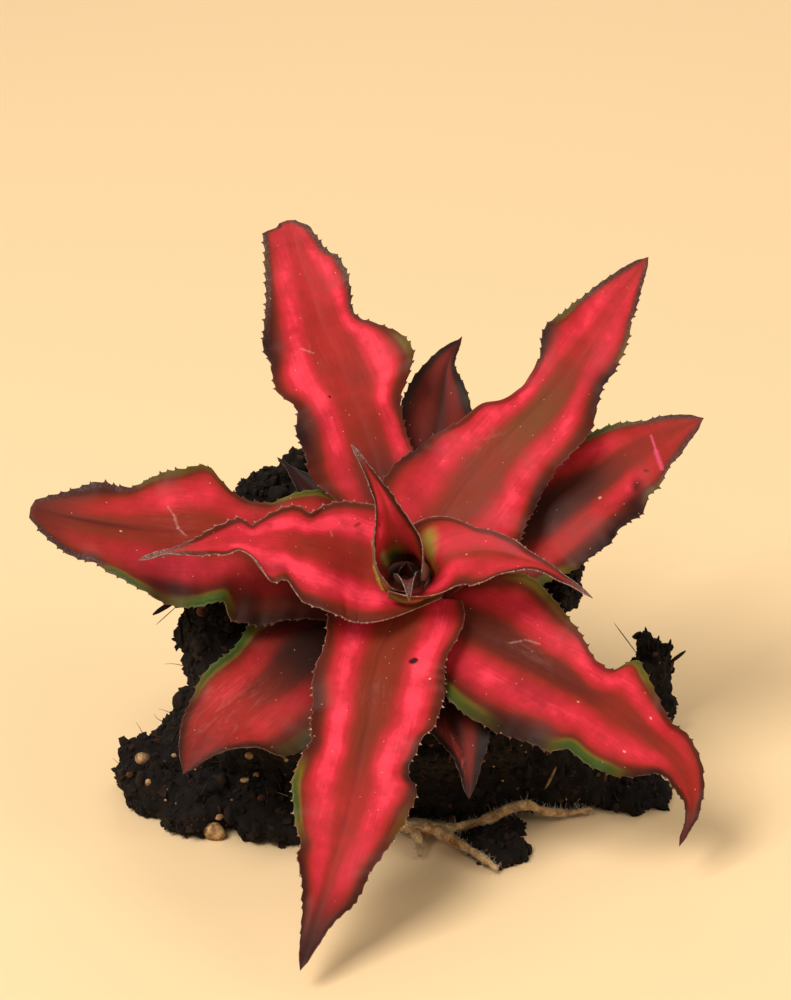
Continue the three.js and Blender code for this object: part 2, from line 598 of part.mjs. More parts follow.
const group = new THREE.Group();
group.name = "earth_star_bromeliad";
addNode(group, "root_ball", rootBall(), 0x1d1510, 0.95);
addNode(group, "stem", stemTube(0), 0x8a9a58, 0.6);
for (const leaf of LEAVES) addNode(group, leaf.name, leafMesh(leaf), leaf.color, 0.45);
for (const root of ROOTS) addNode(group, root.name, meshOfSolid(rootSolid(root, 0)), 0xa08a5a, 0.9);

export default group;
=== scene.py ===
# %% [markdown]
# # An earth star bromeliad, dressed
# The plant is a flat rosette of stiff, striped leaves on a short stem, lifted
# from its pot with the soil still round its roots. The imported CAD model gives
# the frame: every node's place and size. This file makes each node's living
# surface: striped skin, hooked teeth, crumbly soil and woolly roots.

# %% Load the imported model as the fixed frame
from math import cos, pi, radians, sin
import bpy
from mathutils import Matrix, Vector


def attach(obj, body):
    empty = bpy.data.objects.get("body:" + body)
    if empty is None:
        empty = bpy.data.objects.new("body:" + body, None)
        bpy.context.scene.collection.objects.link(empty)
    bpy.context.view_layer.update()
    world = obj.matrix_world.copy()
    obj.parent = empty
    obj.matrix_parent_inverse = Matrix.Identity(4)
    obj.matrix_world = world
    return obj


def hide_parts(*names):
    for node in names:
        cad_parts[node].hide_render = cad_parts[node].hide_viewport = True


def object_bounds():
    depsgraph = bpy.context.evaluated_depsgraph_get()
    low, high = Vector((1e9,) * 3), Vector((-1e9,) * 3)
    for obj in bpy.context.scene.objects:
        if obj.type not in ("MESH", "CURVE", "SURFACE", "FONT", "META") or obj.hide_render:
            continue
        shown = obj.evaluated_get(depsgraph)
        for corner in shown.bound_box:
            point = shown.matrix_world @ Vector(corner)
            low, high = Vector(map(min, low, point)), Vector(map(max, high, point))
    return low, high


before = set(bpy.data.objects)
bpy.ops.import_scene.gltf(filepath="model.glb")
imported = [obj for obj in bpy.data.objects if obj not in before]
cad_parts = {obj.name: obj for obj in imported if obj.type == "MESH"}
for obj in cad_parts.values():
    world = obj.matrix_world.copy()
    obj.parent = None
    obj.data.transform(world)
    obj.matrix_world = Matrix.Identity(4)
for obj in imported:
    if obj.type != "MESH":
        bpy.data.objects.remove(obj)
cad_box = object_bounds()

from types import SimpleNamespace

import bmesh
import bpy
import numpy as np
from mathutils import Vector
from mathutils.bvhtree import BVHTree

MM = 0.001
ground = cad_box[0].z
print("CAD nodes:", len(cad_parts), "size in mm:", [round(v / MM, 1) for v in cad_box[1] - cad_box[0]])

# %% [markdown]
# ## A colour and a node
# A node tree is long to write by hand, so one function adds a node, sets it
# and links it. A value may be a number, a socket or another node, whose first
# open output is then used. Colours are written the way a paint chart gives
# them, as sRGB hex, and turned to the linear values that a shader mixes.


# %% Helpers: a colour and a node
def colour(hex_value):
    """The linear colour of an sRGB hex value, by the sRGB standard's own curve."""
    channels = [int(hex_value[i:i + 2], 16) / 255 for i in (1, 3, 5)]
    linear = [c / 12.92 if c <= 0.04045 else ((c + 0.055) / 1.055) ** 2.4 for c in channels]
    return (*linear, 1.0)


def add(tree, kind, inputs=None, **settings):
    """A new node in a tree. Inputs are keyed by a socket's name, or by its number where names repeat."""
    node = tree.nodes.new(kind)
    for name, value in settings.items():
        setattr(node, name, value)
    for key, value in (inputs or {}).items():
        socket = node.inputs[key] if isinstance(key, int) else next(
            s for s in node.inputs if s.enabled and s.name == key)
        if isinstance(value, bpy.types.Node):
            value = next(s for s in value.outputs if s.enabled)
        if isinstance(value, bpy.types.NodeSocket):
            tree.links.new(value, socket)
        else:
            socket.default_value = value
    return node


def new_tree(name, body, result, **inputs):
    """A Geometry Nodes tree that turns body into result, with its named inputs and their kinds."""
    tree = bpy.data.node_groups.new(name, "GeometryNodeTree")
    for label, kind in {body: "Geometry", **inputs}.items():
        tree.interface.new_socket(label.replace("_", " "), in_out="INPUT", socket_type=f"NodeSocket{kind}")
    tree.interface.new_socket(result, in_out="OUTPUT", socket_type="NodeSocketGeometry")
    return tree, add(tree, "NodeGroupInput").outputs


def new_material(name):
    """A material with nothing but its Principled shader and output."""
    material = bpy.data.materials.new(name)
    material.use_nodes = True
    return material, material.node_tree, material.node_tree.nodes["Principled BSDF"]


# %% [markdown]
# ## From a tree to a plain mesh
# A Geometry Nodes tree works as a modifier, and a modifier's input is set by
# its socket's identifier, because labels may repeat. The export wants plain
# meshes, so whatever a tree grows is copied out and the modifier goes. Every
# finished piece then hangs from the body that carries it, and the CAD nodes
# that it replaces are hidden.

# %% Helpers: a mesh object, what a tree grows on it, and its finish
def new_object(name, points, faces, smooth=True):
    mesh = bpy.data.meshes.new(name)
    mesh.from_pydata([tuple(p) for p in points], [], faces)
    mesh.polygons.foreach_set("use_smooth", [smooth] * len(mesh.polygons))
    return placed(name, mesh)


def placed(name, data):
    piece = bpy.data.objects.new(name, data)
    bpy.context.scene.collection.objects.link(piece)
    return piece


def evaluated_mesh(piece):
    return bpy.data.meshes.new_from_object(piece.evaluated_get(bpy.context.evaluated_depsgraph_get()))


def grown(piece, tree, name=None, **inputs):
    """The plain mesh that a tree grows on a piece, in place or as a new object."""
    modifier = piece.modifiers.new("grow", "NODES")
    modifier.node_group = tree
    sockets = {s.name: s.identifier for s in tree.interface.items_tree if s.item_type == "SOCKET"}
    for label, value in inputs.items():
        modifier[sockets[label.replace("_", " ")]] = value
    mesh = evaluated_mesh(piece)
    piece.modifiers.remove(modifier)
    if name is None:
        piece.data = mesh
        return piece
    return placed(name, mesh)


def finish_piece(piece, replaces=()):
    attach(piece, "root")
    if replaces:
        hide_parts(*replaces)
    triangles = sum(len(p.vertices) - 2 for p in piece.data.polygons)
    print(f"{piece.name}: {triangles} triangles")


# %% [markdown]
# ## The camera
# It looks down on the rosette by 25 degrees from 0.7 m, with a long lens, so
# that near and far leaves keep their true sizes. The same numbers turn a place
# in the picture into a ray, which later sets pebbles and splinters on the soil.

# %% Camera
FRAME_PX = (791, 1000)
LOOK_DOWN = radians(25)
DISTANCE = 700 * MM
MM_PER_PX = 0.222  # at the aim point
SENSOR = 36.0  # mm
CROWN = np.array([0.0, -15.0, 62.0])  # where the leaves meet, mm
AIM_ASIDE, AIM_OVER = -2.1, 16.65  # from the crown to the middle of the picture, mm
AIM = Vector((AIM_ASIDE, CROWN[1] + AIM_OVER * sin(LOOK_DOWN), CROWN[2] + AIM_OVER * cos(LOOK_DOWN))) * MM

towards_camera = Vector((0, -cos(LOOK_DOWN), sin(LOOK_DOWN)))
camera_data = bpy.data.cameras.new("camera")
camera_data.sensor_width = SENSOR
camera_data.lens = SENSOR * DISTANCE / (FRAME_PX[1] * MM_PER_PX * MM)
camera = placed("camera", camera_data)
camera.location = AIM + towards_camera * DISTANCE
camera.rotation_euler = (-towards_camera).to_track_quat("-Z", "Y").to_euler()
bpy.context.scene.camera = camera
print("lens in mm:", round(camera_data.lens, 1))


def ray_through(px, py):
    """Where the ray through a place in the picture starts, and its way."""
    across = (px - FRAME_PX[0] / 2) * MM_PER_PX * MM
    up = (FRAME_PX[1] / 2 - py) * MM_PER_PX * MM
    target = AIM + Vector((across, up * sin(LOOK_DOWN), up * cos(LOOK_DOWN)))
    return camera.location, (target - camera.location).normalized()


# %% [markdown]
# ## The blade of a leaf
# Every leaf is one rule with its own numbers: a mid-rib route in the rosette's
# own frame (x across, y uphill, h along the axis, which leans forward by 35
# degrees), half widths, how far the sides roll up, and how the margins wave.
# The rules and numbers are those of the CAD blades, so each fine leaf lies
# exactly where its solid does. numpy evaluates a whole leaf at once.

# %% The rosette's frame, and a smooth curve through rows
LEAN = radians(35)
ACROSS = np.array([1.0, 0.0, 0.0])
UPHILL = np.array([0.0, cos(LEAN), sin(LEAN)])
AXIS = np.array([0.0, -sin(LEAN), cos(LEAN)])


def from_rosette(points):
    return CROWN + points[..., :1] * ACROSS + points[..., 1:2] * UPHILL + points[..., 2:] * AXIS


def unit(vectors):
    return vectors / np.linalg.norm(vectors, axis=-1, keepdims=True)


def along_route(route):
    """Rows of [mm along, x, y, z] for a route, the last mm being its length."""
    route = np.array(route, float)
    run = np.concatenate([[0], np.cumsum(np.linalg.norm(np.diff(route, axis=0), axis=1))])
    return np.column_stack([run, route])


def through(rows, at, column=1):
    """Smooth curve through rows of [position, value, ...]: the value in a column."""
    table = np.array(rows, float)
    x, y = table[:, 0], table[:, column]
    at = np.clip(np.asarray(at, float), x[0], x[-1])
    gap = np.diff(x)
    rate = np.diff(y) / gap
    between = (rate[:-1] * gap[1:] + rate[1:] * gap[:-1]) / (gap[:-1] + gap[1:])
    slope = np.concatenate([rate[:1], between, rate[-1:]])
    i = np.clip(np.searchsorted(x, at) - 1, 0, len(gap) - 1)
    t = (at - x[i]) / gap[i]
    ease = t * t * (3 - 2 * t)
    bow = slope[i] * t * (1 - t) ** 2 - slope[i + 1] * t * t * (1 - t)
    return y[i] * (1 - ease) + y[i + 1] * ease + gap[i] * bow


def place_through(rows, at):
    return np.stack([through(rows, at, column) for column in (1, 2, 3)], -1)


# %% The blade's rule
NEARBY = 0.2  # mm along the mid-rib that give its direction
WAVE_TAPER = 14  # mm from either end in which the margins' waves fade


def blade_of(leaf):
    """A leaf's length, its half width at (s, f), and its middle surface at (s, f).

    s is mm along the mid-rib, and f runs from -1 at the right margin to 1 at the left.
    """
    rows = along_route(leaf["route"])
    length = rows[-1, 0]

    def half_width(s, f):
        return np.where(f < 0, through(leaf["right"], s), through(leaf["left"], s))

    def surface(s, f):
        s, f = np.broadcast_arrays(np.asarray(s, float), np.asarray(f, float))
        before, after = np.maximum(s - NEARBY, 0), np.minimum(s + NEARBY, length)
        ahead = unit(place_through(rows, after) - place_through(rows, before))
        aside = unit(np.stack([-ahead[..., 1], ahead[..., 0], 0 * s], -1))
        upward = np.cross(ahead, aside)
        side, reach = np.where(f < 0, -1.0, 1.0), np.abs(f)
        roll = np.where(f < 0, through(leaf["roll"], s, 2), through(leaf["roll"], s, 1))
        roll = np.radians(np.maximum(roll, 1))
        bend = half_width(s, f) / roll
        height, wavelength, start_left, start_right = leaf["wave"]
        start = np.where(f < 0, start_right, start_left)
        taper = np.minimum(1, np.minimum(s, length - s) / WAVE_TAPER)
        wave = height * taper * reach ** 2 * np.sin(2 * pi * (s - start) / wavelength)
        out = side * bend * np.sin(roll * reach)
        lift = bend * (1 - np.cos(roll * reach)) + wave
        return place_through(rows, s) + aside * out[..., None] + upward * lift[..., None]

    return length, half_width, surface


# %% [markdown]
# ## The leaves' own numbers
# From the oldest and lowest to the heart, all in mm. `route` holds places on
# the mid-rib. `left` and `right` are [along, half width], and left is the
# anticlockwise side seen from above. `roll` is [along, left, right], the
# degrees by which a side curls up. `wave` is the margins' height, wavelength,
# and where it starts on the left and on the right. `folds` are places where a
# margin turns down: side, along, half length, drop. `toothless` is a stretch
# of margin that turns away from sight: side, from, to. `point` makes a tip
# blunt, `smooth` evens out the margins of a tightly rolled foot, and `thick`
# is the mid-rib of a leaf that is thinner than the rest.

# %% Leaf shapes
LEAF_SHAPES = {
    "leaf_old_back_left": dict(
        route=[[-3, 3.8, -17], [-15, 22, -14], [-25, 33, -12], [-29.5, 37, -11]],
        left=[[0, 5], [13.5, 6.5], [26.5, 6], [33.5, 3], [40, 0.4]],
        right=[[0, 5], [13.5, 6.5], [26.5, 3.6], [33.5, 2], [40, 0.4]],
        roll=[[0, 15, 15], [39.5, 30, 30]],
        wave=[0.4, 13, 0, 5]),
    "leaf_old_front": dict(
        route=[[1, -4.6, -16], [7.5, -19, -14], [12.5, -36.5, -13], [14, -48.5, -13]],
        left=[[0, 6], [12, 8.6], [25, 8.8], [31, 7.2], [38, 3.8], [46.5, 0.4]],
        right=[[0, 6], [14, 8], [22, 6.8], [28, 6], [32, 4], [36, 2.4], [46.5, 0.4]],
        roll=[[0, 12, 12], [46, 25, 25]],
        wave=[0.5, 15, 0, 6]),
    "leaf_lower_left": dict(
        route=[[-3.9, -2.6, -14.5], [-19.5, -10.5, -12.2], [-32, -22, -10.8], [-42, -32.5, -10.5],
               [-48.5, -43.5, -11]],
        left=[[0, 8], [15, 15], [29, 19.8], [38, 18], [44, 15], [47, 11.7], [50, 8.8], [53, 5.6], [57, 2.6],
              [62, 0.4]],
        right=[[0, 8], [13, 9.2], [21, 11.9], [25, 12.8], [29, 11.6], [32, 10.5], [44, 9.5], [48, 8],
               [54, 5.4], [58, 3.2], [62, 0.4]],
        roll=[[0, 10, 10], [32, 12, 14], [62, 20, 20]],
        wave=[1.0, 21, 4, 12],
        folds=[["left", 36, 10, 1.6], ["right", 46, 4, 0.8]]),
    "leaf_back": dict(
        route=[[0.9, 4.6, -15], [5.5, 28, -11.6], [8.5, 50.5, -8], [10, 59.5, -6.8], [13.5, 67, -6]],
        left=[[0, 6], [14, 9], [32, 10], [40, 9.4], [46, 8.3], [52, 6.8], [55, 5], [59, 2.9], [63.5, 0.4]],
        right=[[0, 6], [14, 7], [34, 9], [42, 8.8], [46, 7], [50, 5.2], [53, 3.4], [57, 1.5], [63.5, 0.4]],
        roll=[[0, 10, 3], [30, 12, 5], [63, 22, 22]],
        wave=[0.8, 19, 2, 9]),
    "leaf_right": dict(
        route=[[4, 2.4, -12.8], [19, 13, -10.4], [36, 24.5, -5.5], [51, 34, -3], [68.5, 41.5, -1]],
        left=[[0, 8], [14.5, 12], [31.5, 11.5], [41.5, 9.7], [50.5, 7.8], [62.5, 5.6], [70.5, 3.4],
              [77, 0.4]],
        right=[[0, 8], [12.5, 12], [22.5, 15.3], [47.5, 15.6], [52.5, 14.2], [55, 12.4], [59.5, 12],
               [63.5, 9.6], [67.5, 6.9], [72.5, 3.4], [77, 0.4]],
        roll=[[0, 12, 3], [26, 14, 4], [42.5, 14, 12], [76.5, 18, 18]],
        wave=[1.0, 23, 3, 14],
        folds=[["right", 51, 4, 1.5], ["right", 40, 4, 1.0]]),
    "leaf_lower_right": dict(
        route=[[3.8, -2.2, -11], [15, -9.5, -9.5], [28, -18, -8], [42, -26, -9.3], [54.5, -33.5, -14.5],
               [61.5, -39, -20], [63.5, -46, -24.5], [60.5, -54, -26]],
        left=[[0, 8], [11, 14], [18, 17.8], [24, 16.3], [35, 10.9], [42, 7.2], [45, 8], [48.5, 13],
              [52, 11.2], [56, 8], [60, 5.6], [67, 6], [71, 5], [75, 3.4], [80, 1.5], [88.5, 0.4]],
        right=[[0, 8], [11, 14], [20, 18.3], [28, 18.6], [38, 16.4], [43, 16.4], [46, 14.8], [49, 15.2],
               [54, 14.2], [59, 11.8], [64, 6.8], [72, 4], [77, 1.8], [88.5, 0.4]],
        roll=[[0, 14, 10], [11, 19, 10], [24, 17, 10], [42, 14, 12], [88, 30, 30]],
        wave=[1.1, 24, 6, 15],
        folds=[["right", 36, 8, 1.8], ["right", 62, 4, 0.8]]),
    "leaf_left": dict(
        route=[[-4.2, 1.4, -11.3], [-23.5, 9.5, -7], [-42.5, 12.5, -3.8], [-59, 12.5, -1.8], [-76, 14.8, 0],
               [-84, 16.7, 1]],
        left=[[0, 9], [15, 16], [25, 20.3], [29, 20.9], [34, 19.8], [36.5, 17.6], [40, 19], [46, 19.8],
              [51, 18.2], [57, 16.1], [63, 12.4], [66.5, 9.8], [72, 9.1], [77, 6.8], [80.5, 4.2],
              [82.6, 2.6], [84, 0.9]],
        right=[[0, 9], [15, 15], [21, 16], [26, 13.2], [30, 10.2], [33, 9.5], [37, 10.6], [40.5, 12.6],
               [43.5, 15.6], [48, 14.6], [57, 13], [61, 10.2], [69, 9], [74, 6.8], [79.4, 3.9], [82.4, 2],
               [84, 0.7]],
        roll=[[0, 8, 4], [26, 10, 5], [43, 12, 14], [84, 20, 20]],
        wave=[1.2, 24, 8, 17],
        folds=[["left", 33, 4, 1.8], ["left", 52, 4, 1.0], ["left", 67, 4, 1.2], ["right", 71, 4, 1.0]],
        point=0.5),
    "leaf_front": dict(
        route=[[-1, -1.6, -6.3], [-2, -8, -6.2], [-6, -18, -5.2], [-9, -37, -4], [-12.5, -55.5, -3.6],
               [-17, -73, -4], [-22, -91.5, -4.8]],
        left=[[0, 13.8], [4.5, 14.9], [8, 14.4], [10.5, 14], [12.5, 14.4], [17.5, 15.1], [20, 15.3],
              [23, 16.1], [28.5, 15.8], [32.6, 15.3], [34.6, 14.7], [36.1, 13.2], [37.5, 12.3], [40, 11.7],
              [45, 10.9], [46.3, 11.8], [47.4, 13.2], [49, 13.6], [51, 13.6], [53, 13], [59, 12.2],
              [69, 8.4], [76, 6.6], [81, 4], [87, 2], [92.9, 0.4]],
        right=[[0, 11], [8, 14.4], [11.5, 14.5], [14, 13.5], [16, 12.4], [18, 11.8], [21, 11.9], [25, 12.4],
               [29, 11.9], [38.5, 11.2], [41.5, 10.5], [43.2, 10.9], [44.8, 11.6], [47, 12], [51.5, 12.7],
               [57, 11.2], [62, 9.2], [65, 7.2], [70, 6.8], [75, 4.5], [84, 2.2], [92.9, 0.4]],
        roll=[[0, 10, 10], [40, 14, 14], [88, 22, 22]],
        wave=[1.1, 25, 7, 14],
        folds=[["left", 44, 3.5, 1.5], ["right", 29, 7, 1.2], ["right", 66, 4, 0.8]]),
    "leaf_upper_left": dict(
        route=[[-1.2, 4, -10], [-4, 15, -7.4], [-7.5, 32, -3], [-14.5, 50, 1.5], [-22.5, 72, 6],
               [-27.5, 89.5, 9]],
        left=[[0, 8], [14.5, 8], [21.5, 11], [27.5, 14.5], [35.5, 14.5], [43.5, 13], [46, 11.8],
              [50.5, 14.6], [58.5, 14], [65.5, 12.8], [73.5, 9.8], [83.5, 7.3], [86.5, 6.8], [88.6, 6.3],
              [89.5, 5.7], [90, 3], [90.6, 2.2], [91.7, 1.5]],
        right=[[0, 8], [21.5, 9.3], [36.5, 9.8], [40.5, 11], [46, 15.5], [50, 17.3], [54.5, 16.6],
               [58.5, 13.6], [62, 9.6], [65.5, 8.2], [69.5, 9], [73, 9.5], [76.5, 9.2], [79.4, 8.5],
               [80.6, 7.3], [81.8, 6.7], [85.7, 5.5], [87.7, 4.7], [89.2, 3.7], [90.2, 2.4], [91.7, 1.3]],
        roll=[[0, 12, 2], [20, 18, 3], [34, 16, 8], [46, 14, 16], [91.5, 16, 16]],
        wave=[1.2, 26, 5, 16],
        folds=[["left", 41, 5, 2.0], ["left", 62, 4, 1.8], ["right", 66, 3.5, 1.2], ["right", 43, 4, 1.0]],
        point=0.4),
    "leaf_upper_right": dict(
        route=[[2.4, 3.2, -8], [10, 19.5, -3.6], [21, 33, 0.5], [32, 44, 3.5], [44, 60, 7],
               [56.5, 78.5, 10]],
        left=[[0, 9], [11, 14.5], [18, 15.5], [25, 14], [31, 12.3], [36.5, 9.6], [41, 9], [44.5, 6.7],
              [50, 5.8], [60, 7], [66.5, 9.4], [72, 8.3], [78, 7.5], [85, 5], [95.5, 0.4]],
        right=[[0, 9], [11, 16], [17, 18], [26, 17.5], [34, 15], [44, 15], [50, 14], [57, 10.8], [62, 9.2],
               [67, 9.3], [74, 7.8], [80, 5.3], [88, 2.6], [95.5, 0.4]],
        roll=[[0, 16, 6], [20, 20, 8], [34, 16, 14], [95, 20, 20]],
        wave=[1.1, 26, 9, 15],
        folds=[["left", 26, 3, 1.2], ["left", 65, 3.5, 1.6], ["right", 54, 5, 1.8], ["right", 32, 4, 1.5]],
        toothless=[["left", 37, 58]]),
    "leaf_inner_left": dict(
        route=[[9, -0.5, -4.5], [-4, 3, -4.4], [-9, 4.2, -3.9], [-13, 4.8, -1.3], [-18, 5, 2.2],
               [-26, 5, 5.8], [-38.5, 3.3, 9.6], [-51, 0, 10.6], [-58.5, -2.3, 10.9]],
        left=[[0, 3], [4, 6.5], [6.5, 11], [9, 14.8], [13, 18], [18.5, 17.2], [23.5, 17.2], [26.5, 17.4],
              [31, 17.8], [33.5, 16.8], [36.5, 15], [38, 12.6], [39.4, 11], [41.5, 11.6], [44.2, 12.7],
              [46.2, 11.4], [47.8, 7], [49.5, 4.6], [53, 4.2], [58, 2.8], [64, 1.2], [72.6, 0.35]],
        right=[[0, 6], [9, 12], [17, 15], [23, 14], [28, 12], [31, 9.8], [34, 7.4], [37, 8.4], [41, 7],
               [44, 5], [46, 3.6], [48.5, 4.8], [52, 3.8], [58, 1.9], [72.6, 0.35]],
        roll=[[0, 10, 18], [4, 17, 22], [6.5, 26, 24], [9, 34, 26], [13, 40, 26], [18.5, 31, 25],
              [23.5, 25, 24], [30, 22, 24], [48, 35, 35], [72, 50, 50]],
        wave=[0.6, 19, 5, 11],
        smooth=[4.5, 24]),
    "leaf_inner_right": dict(
        route=[[6.4, 0.1, -2.3], [7.1, 0.15, 0.8], [9.6, 1.7, 3.8], [14.5, 2.6, 5.5], [20, 1.8, 7],
               [25, 0, 7.8], [30.7, -2.7, 8.5], [36, -6.6, 8.6], [41, -10.2, 8]],
        left=[[0, 8], [4, 10.8], [6.5, 11.4], [9, 9.8], [11, 8.2], [12.5, 6.7], [14.5, 5.2], [16.5, 5.1],
              [18.5, 4.2], [20.5, 3.6], [24.5, 2.2], [32.5, 0.9], [42.2, 0.35]],
        right=[[0, 14.5], [1.5, 14.2], [3, 12.6], [4.4, 10.2], [5.6, 8.6], [8, 8], [10, 8.5], [13, 9.9],
               [16, 9.9], [19, 8.9], [22, 6.6], [24.5, 4.4], [27, 2.8], [31, 1.8], [42.2, 0.35]],
        roll=[[0, 58, 127], [1.5, 56, 125], [3, 50, 112], [4.5, 44, 80], [7.5, 34, 36], [12.5, 26, 27],
              [22, 35, 35], [42, 60, 60]],
        wave=[0.4, 15, 4, 9],
        smooth=[0.9, 45], thick=0.9),
    "leaf_heart_tall": dict(
        route=[[-2.5, 4.3, -1.9], [-2.65, 4.6, 3], [-3.4, 6.8, 9], [-4.4, 9, 14.5], [-6.5, 12.2, 19],
               [-9, 15.4, 22.2], [-11.8, 19.5, 24]],
        left=[[0, 11.9], [4, 11], [7, 9.6], [12, 7.4], [16, 4.7], [22, 2.2], [27, 1], [34.5, 0.35]],
        right=[[0, 12.9], [5, 12], [9, 9.3], [12, 6.6], [16, 3.6], [22, 1.8], [27, 0.9], [34.5, 0.35]],
        roll=[[0, 138, 150], [4, 124, 142], [7, 102, 115], [12, 82, 76], [16, 65, 55], [22, 50, 50],
              [34, 40, 40]],
        wave=[0, 10, 0, 0],
        thick=0.8),
    "leaf_heart_front": dict(
        route=[[0.4, -2.9, -1.2], [0.4, -3.1, 1.6], [0.45, -3.6, 4], [0.6, -5.2, 5.5], [0.8, -7.2, 5.3],
               [0.9, -9, 4.2]],
        left=[[0, 3.2], [3.5, 3.6], [6, 2.4], [8, 1.2], [11.6, 0.35]],
        right=[[0, 3.2], [3.5, 3.6], [6, 2.4], [8, 1.2], [11.6, 0.35]],
        roll=[[0, 70, 70], [4, 75, 75], [11, 50, 50]],
        wave=[0, 10, 0, 0],
        thick=0.7),
    "leaf_heart_back": dict(
        route=[[0.3, 0.6, -1.2], [0.34, 0.8, 1.6], [0.4, 1.1, 4.4]],
        left=[[0, 2], [2.6, 1.7], [5.7, 0.35]],
        right=[[0, 2], [2.6, 1.7], [5.7, 0.35]],
        roll=[[0, 70, 70], [5, 50, 50]],
        wave=[0, 10, 0, 0],
        thick=0.7),
}
print("leaves:", len(LEAF_SHAPES))
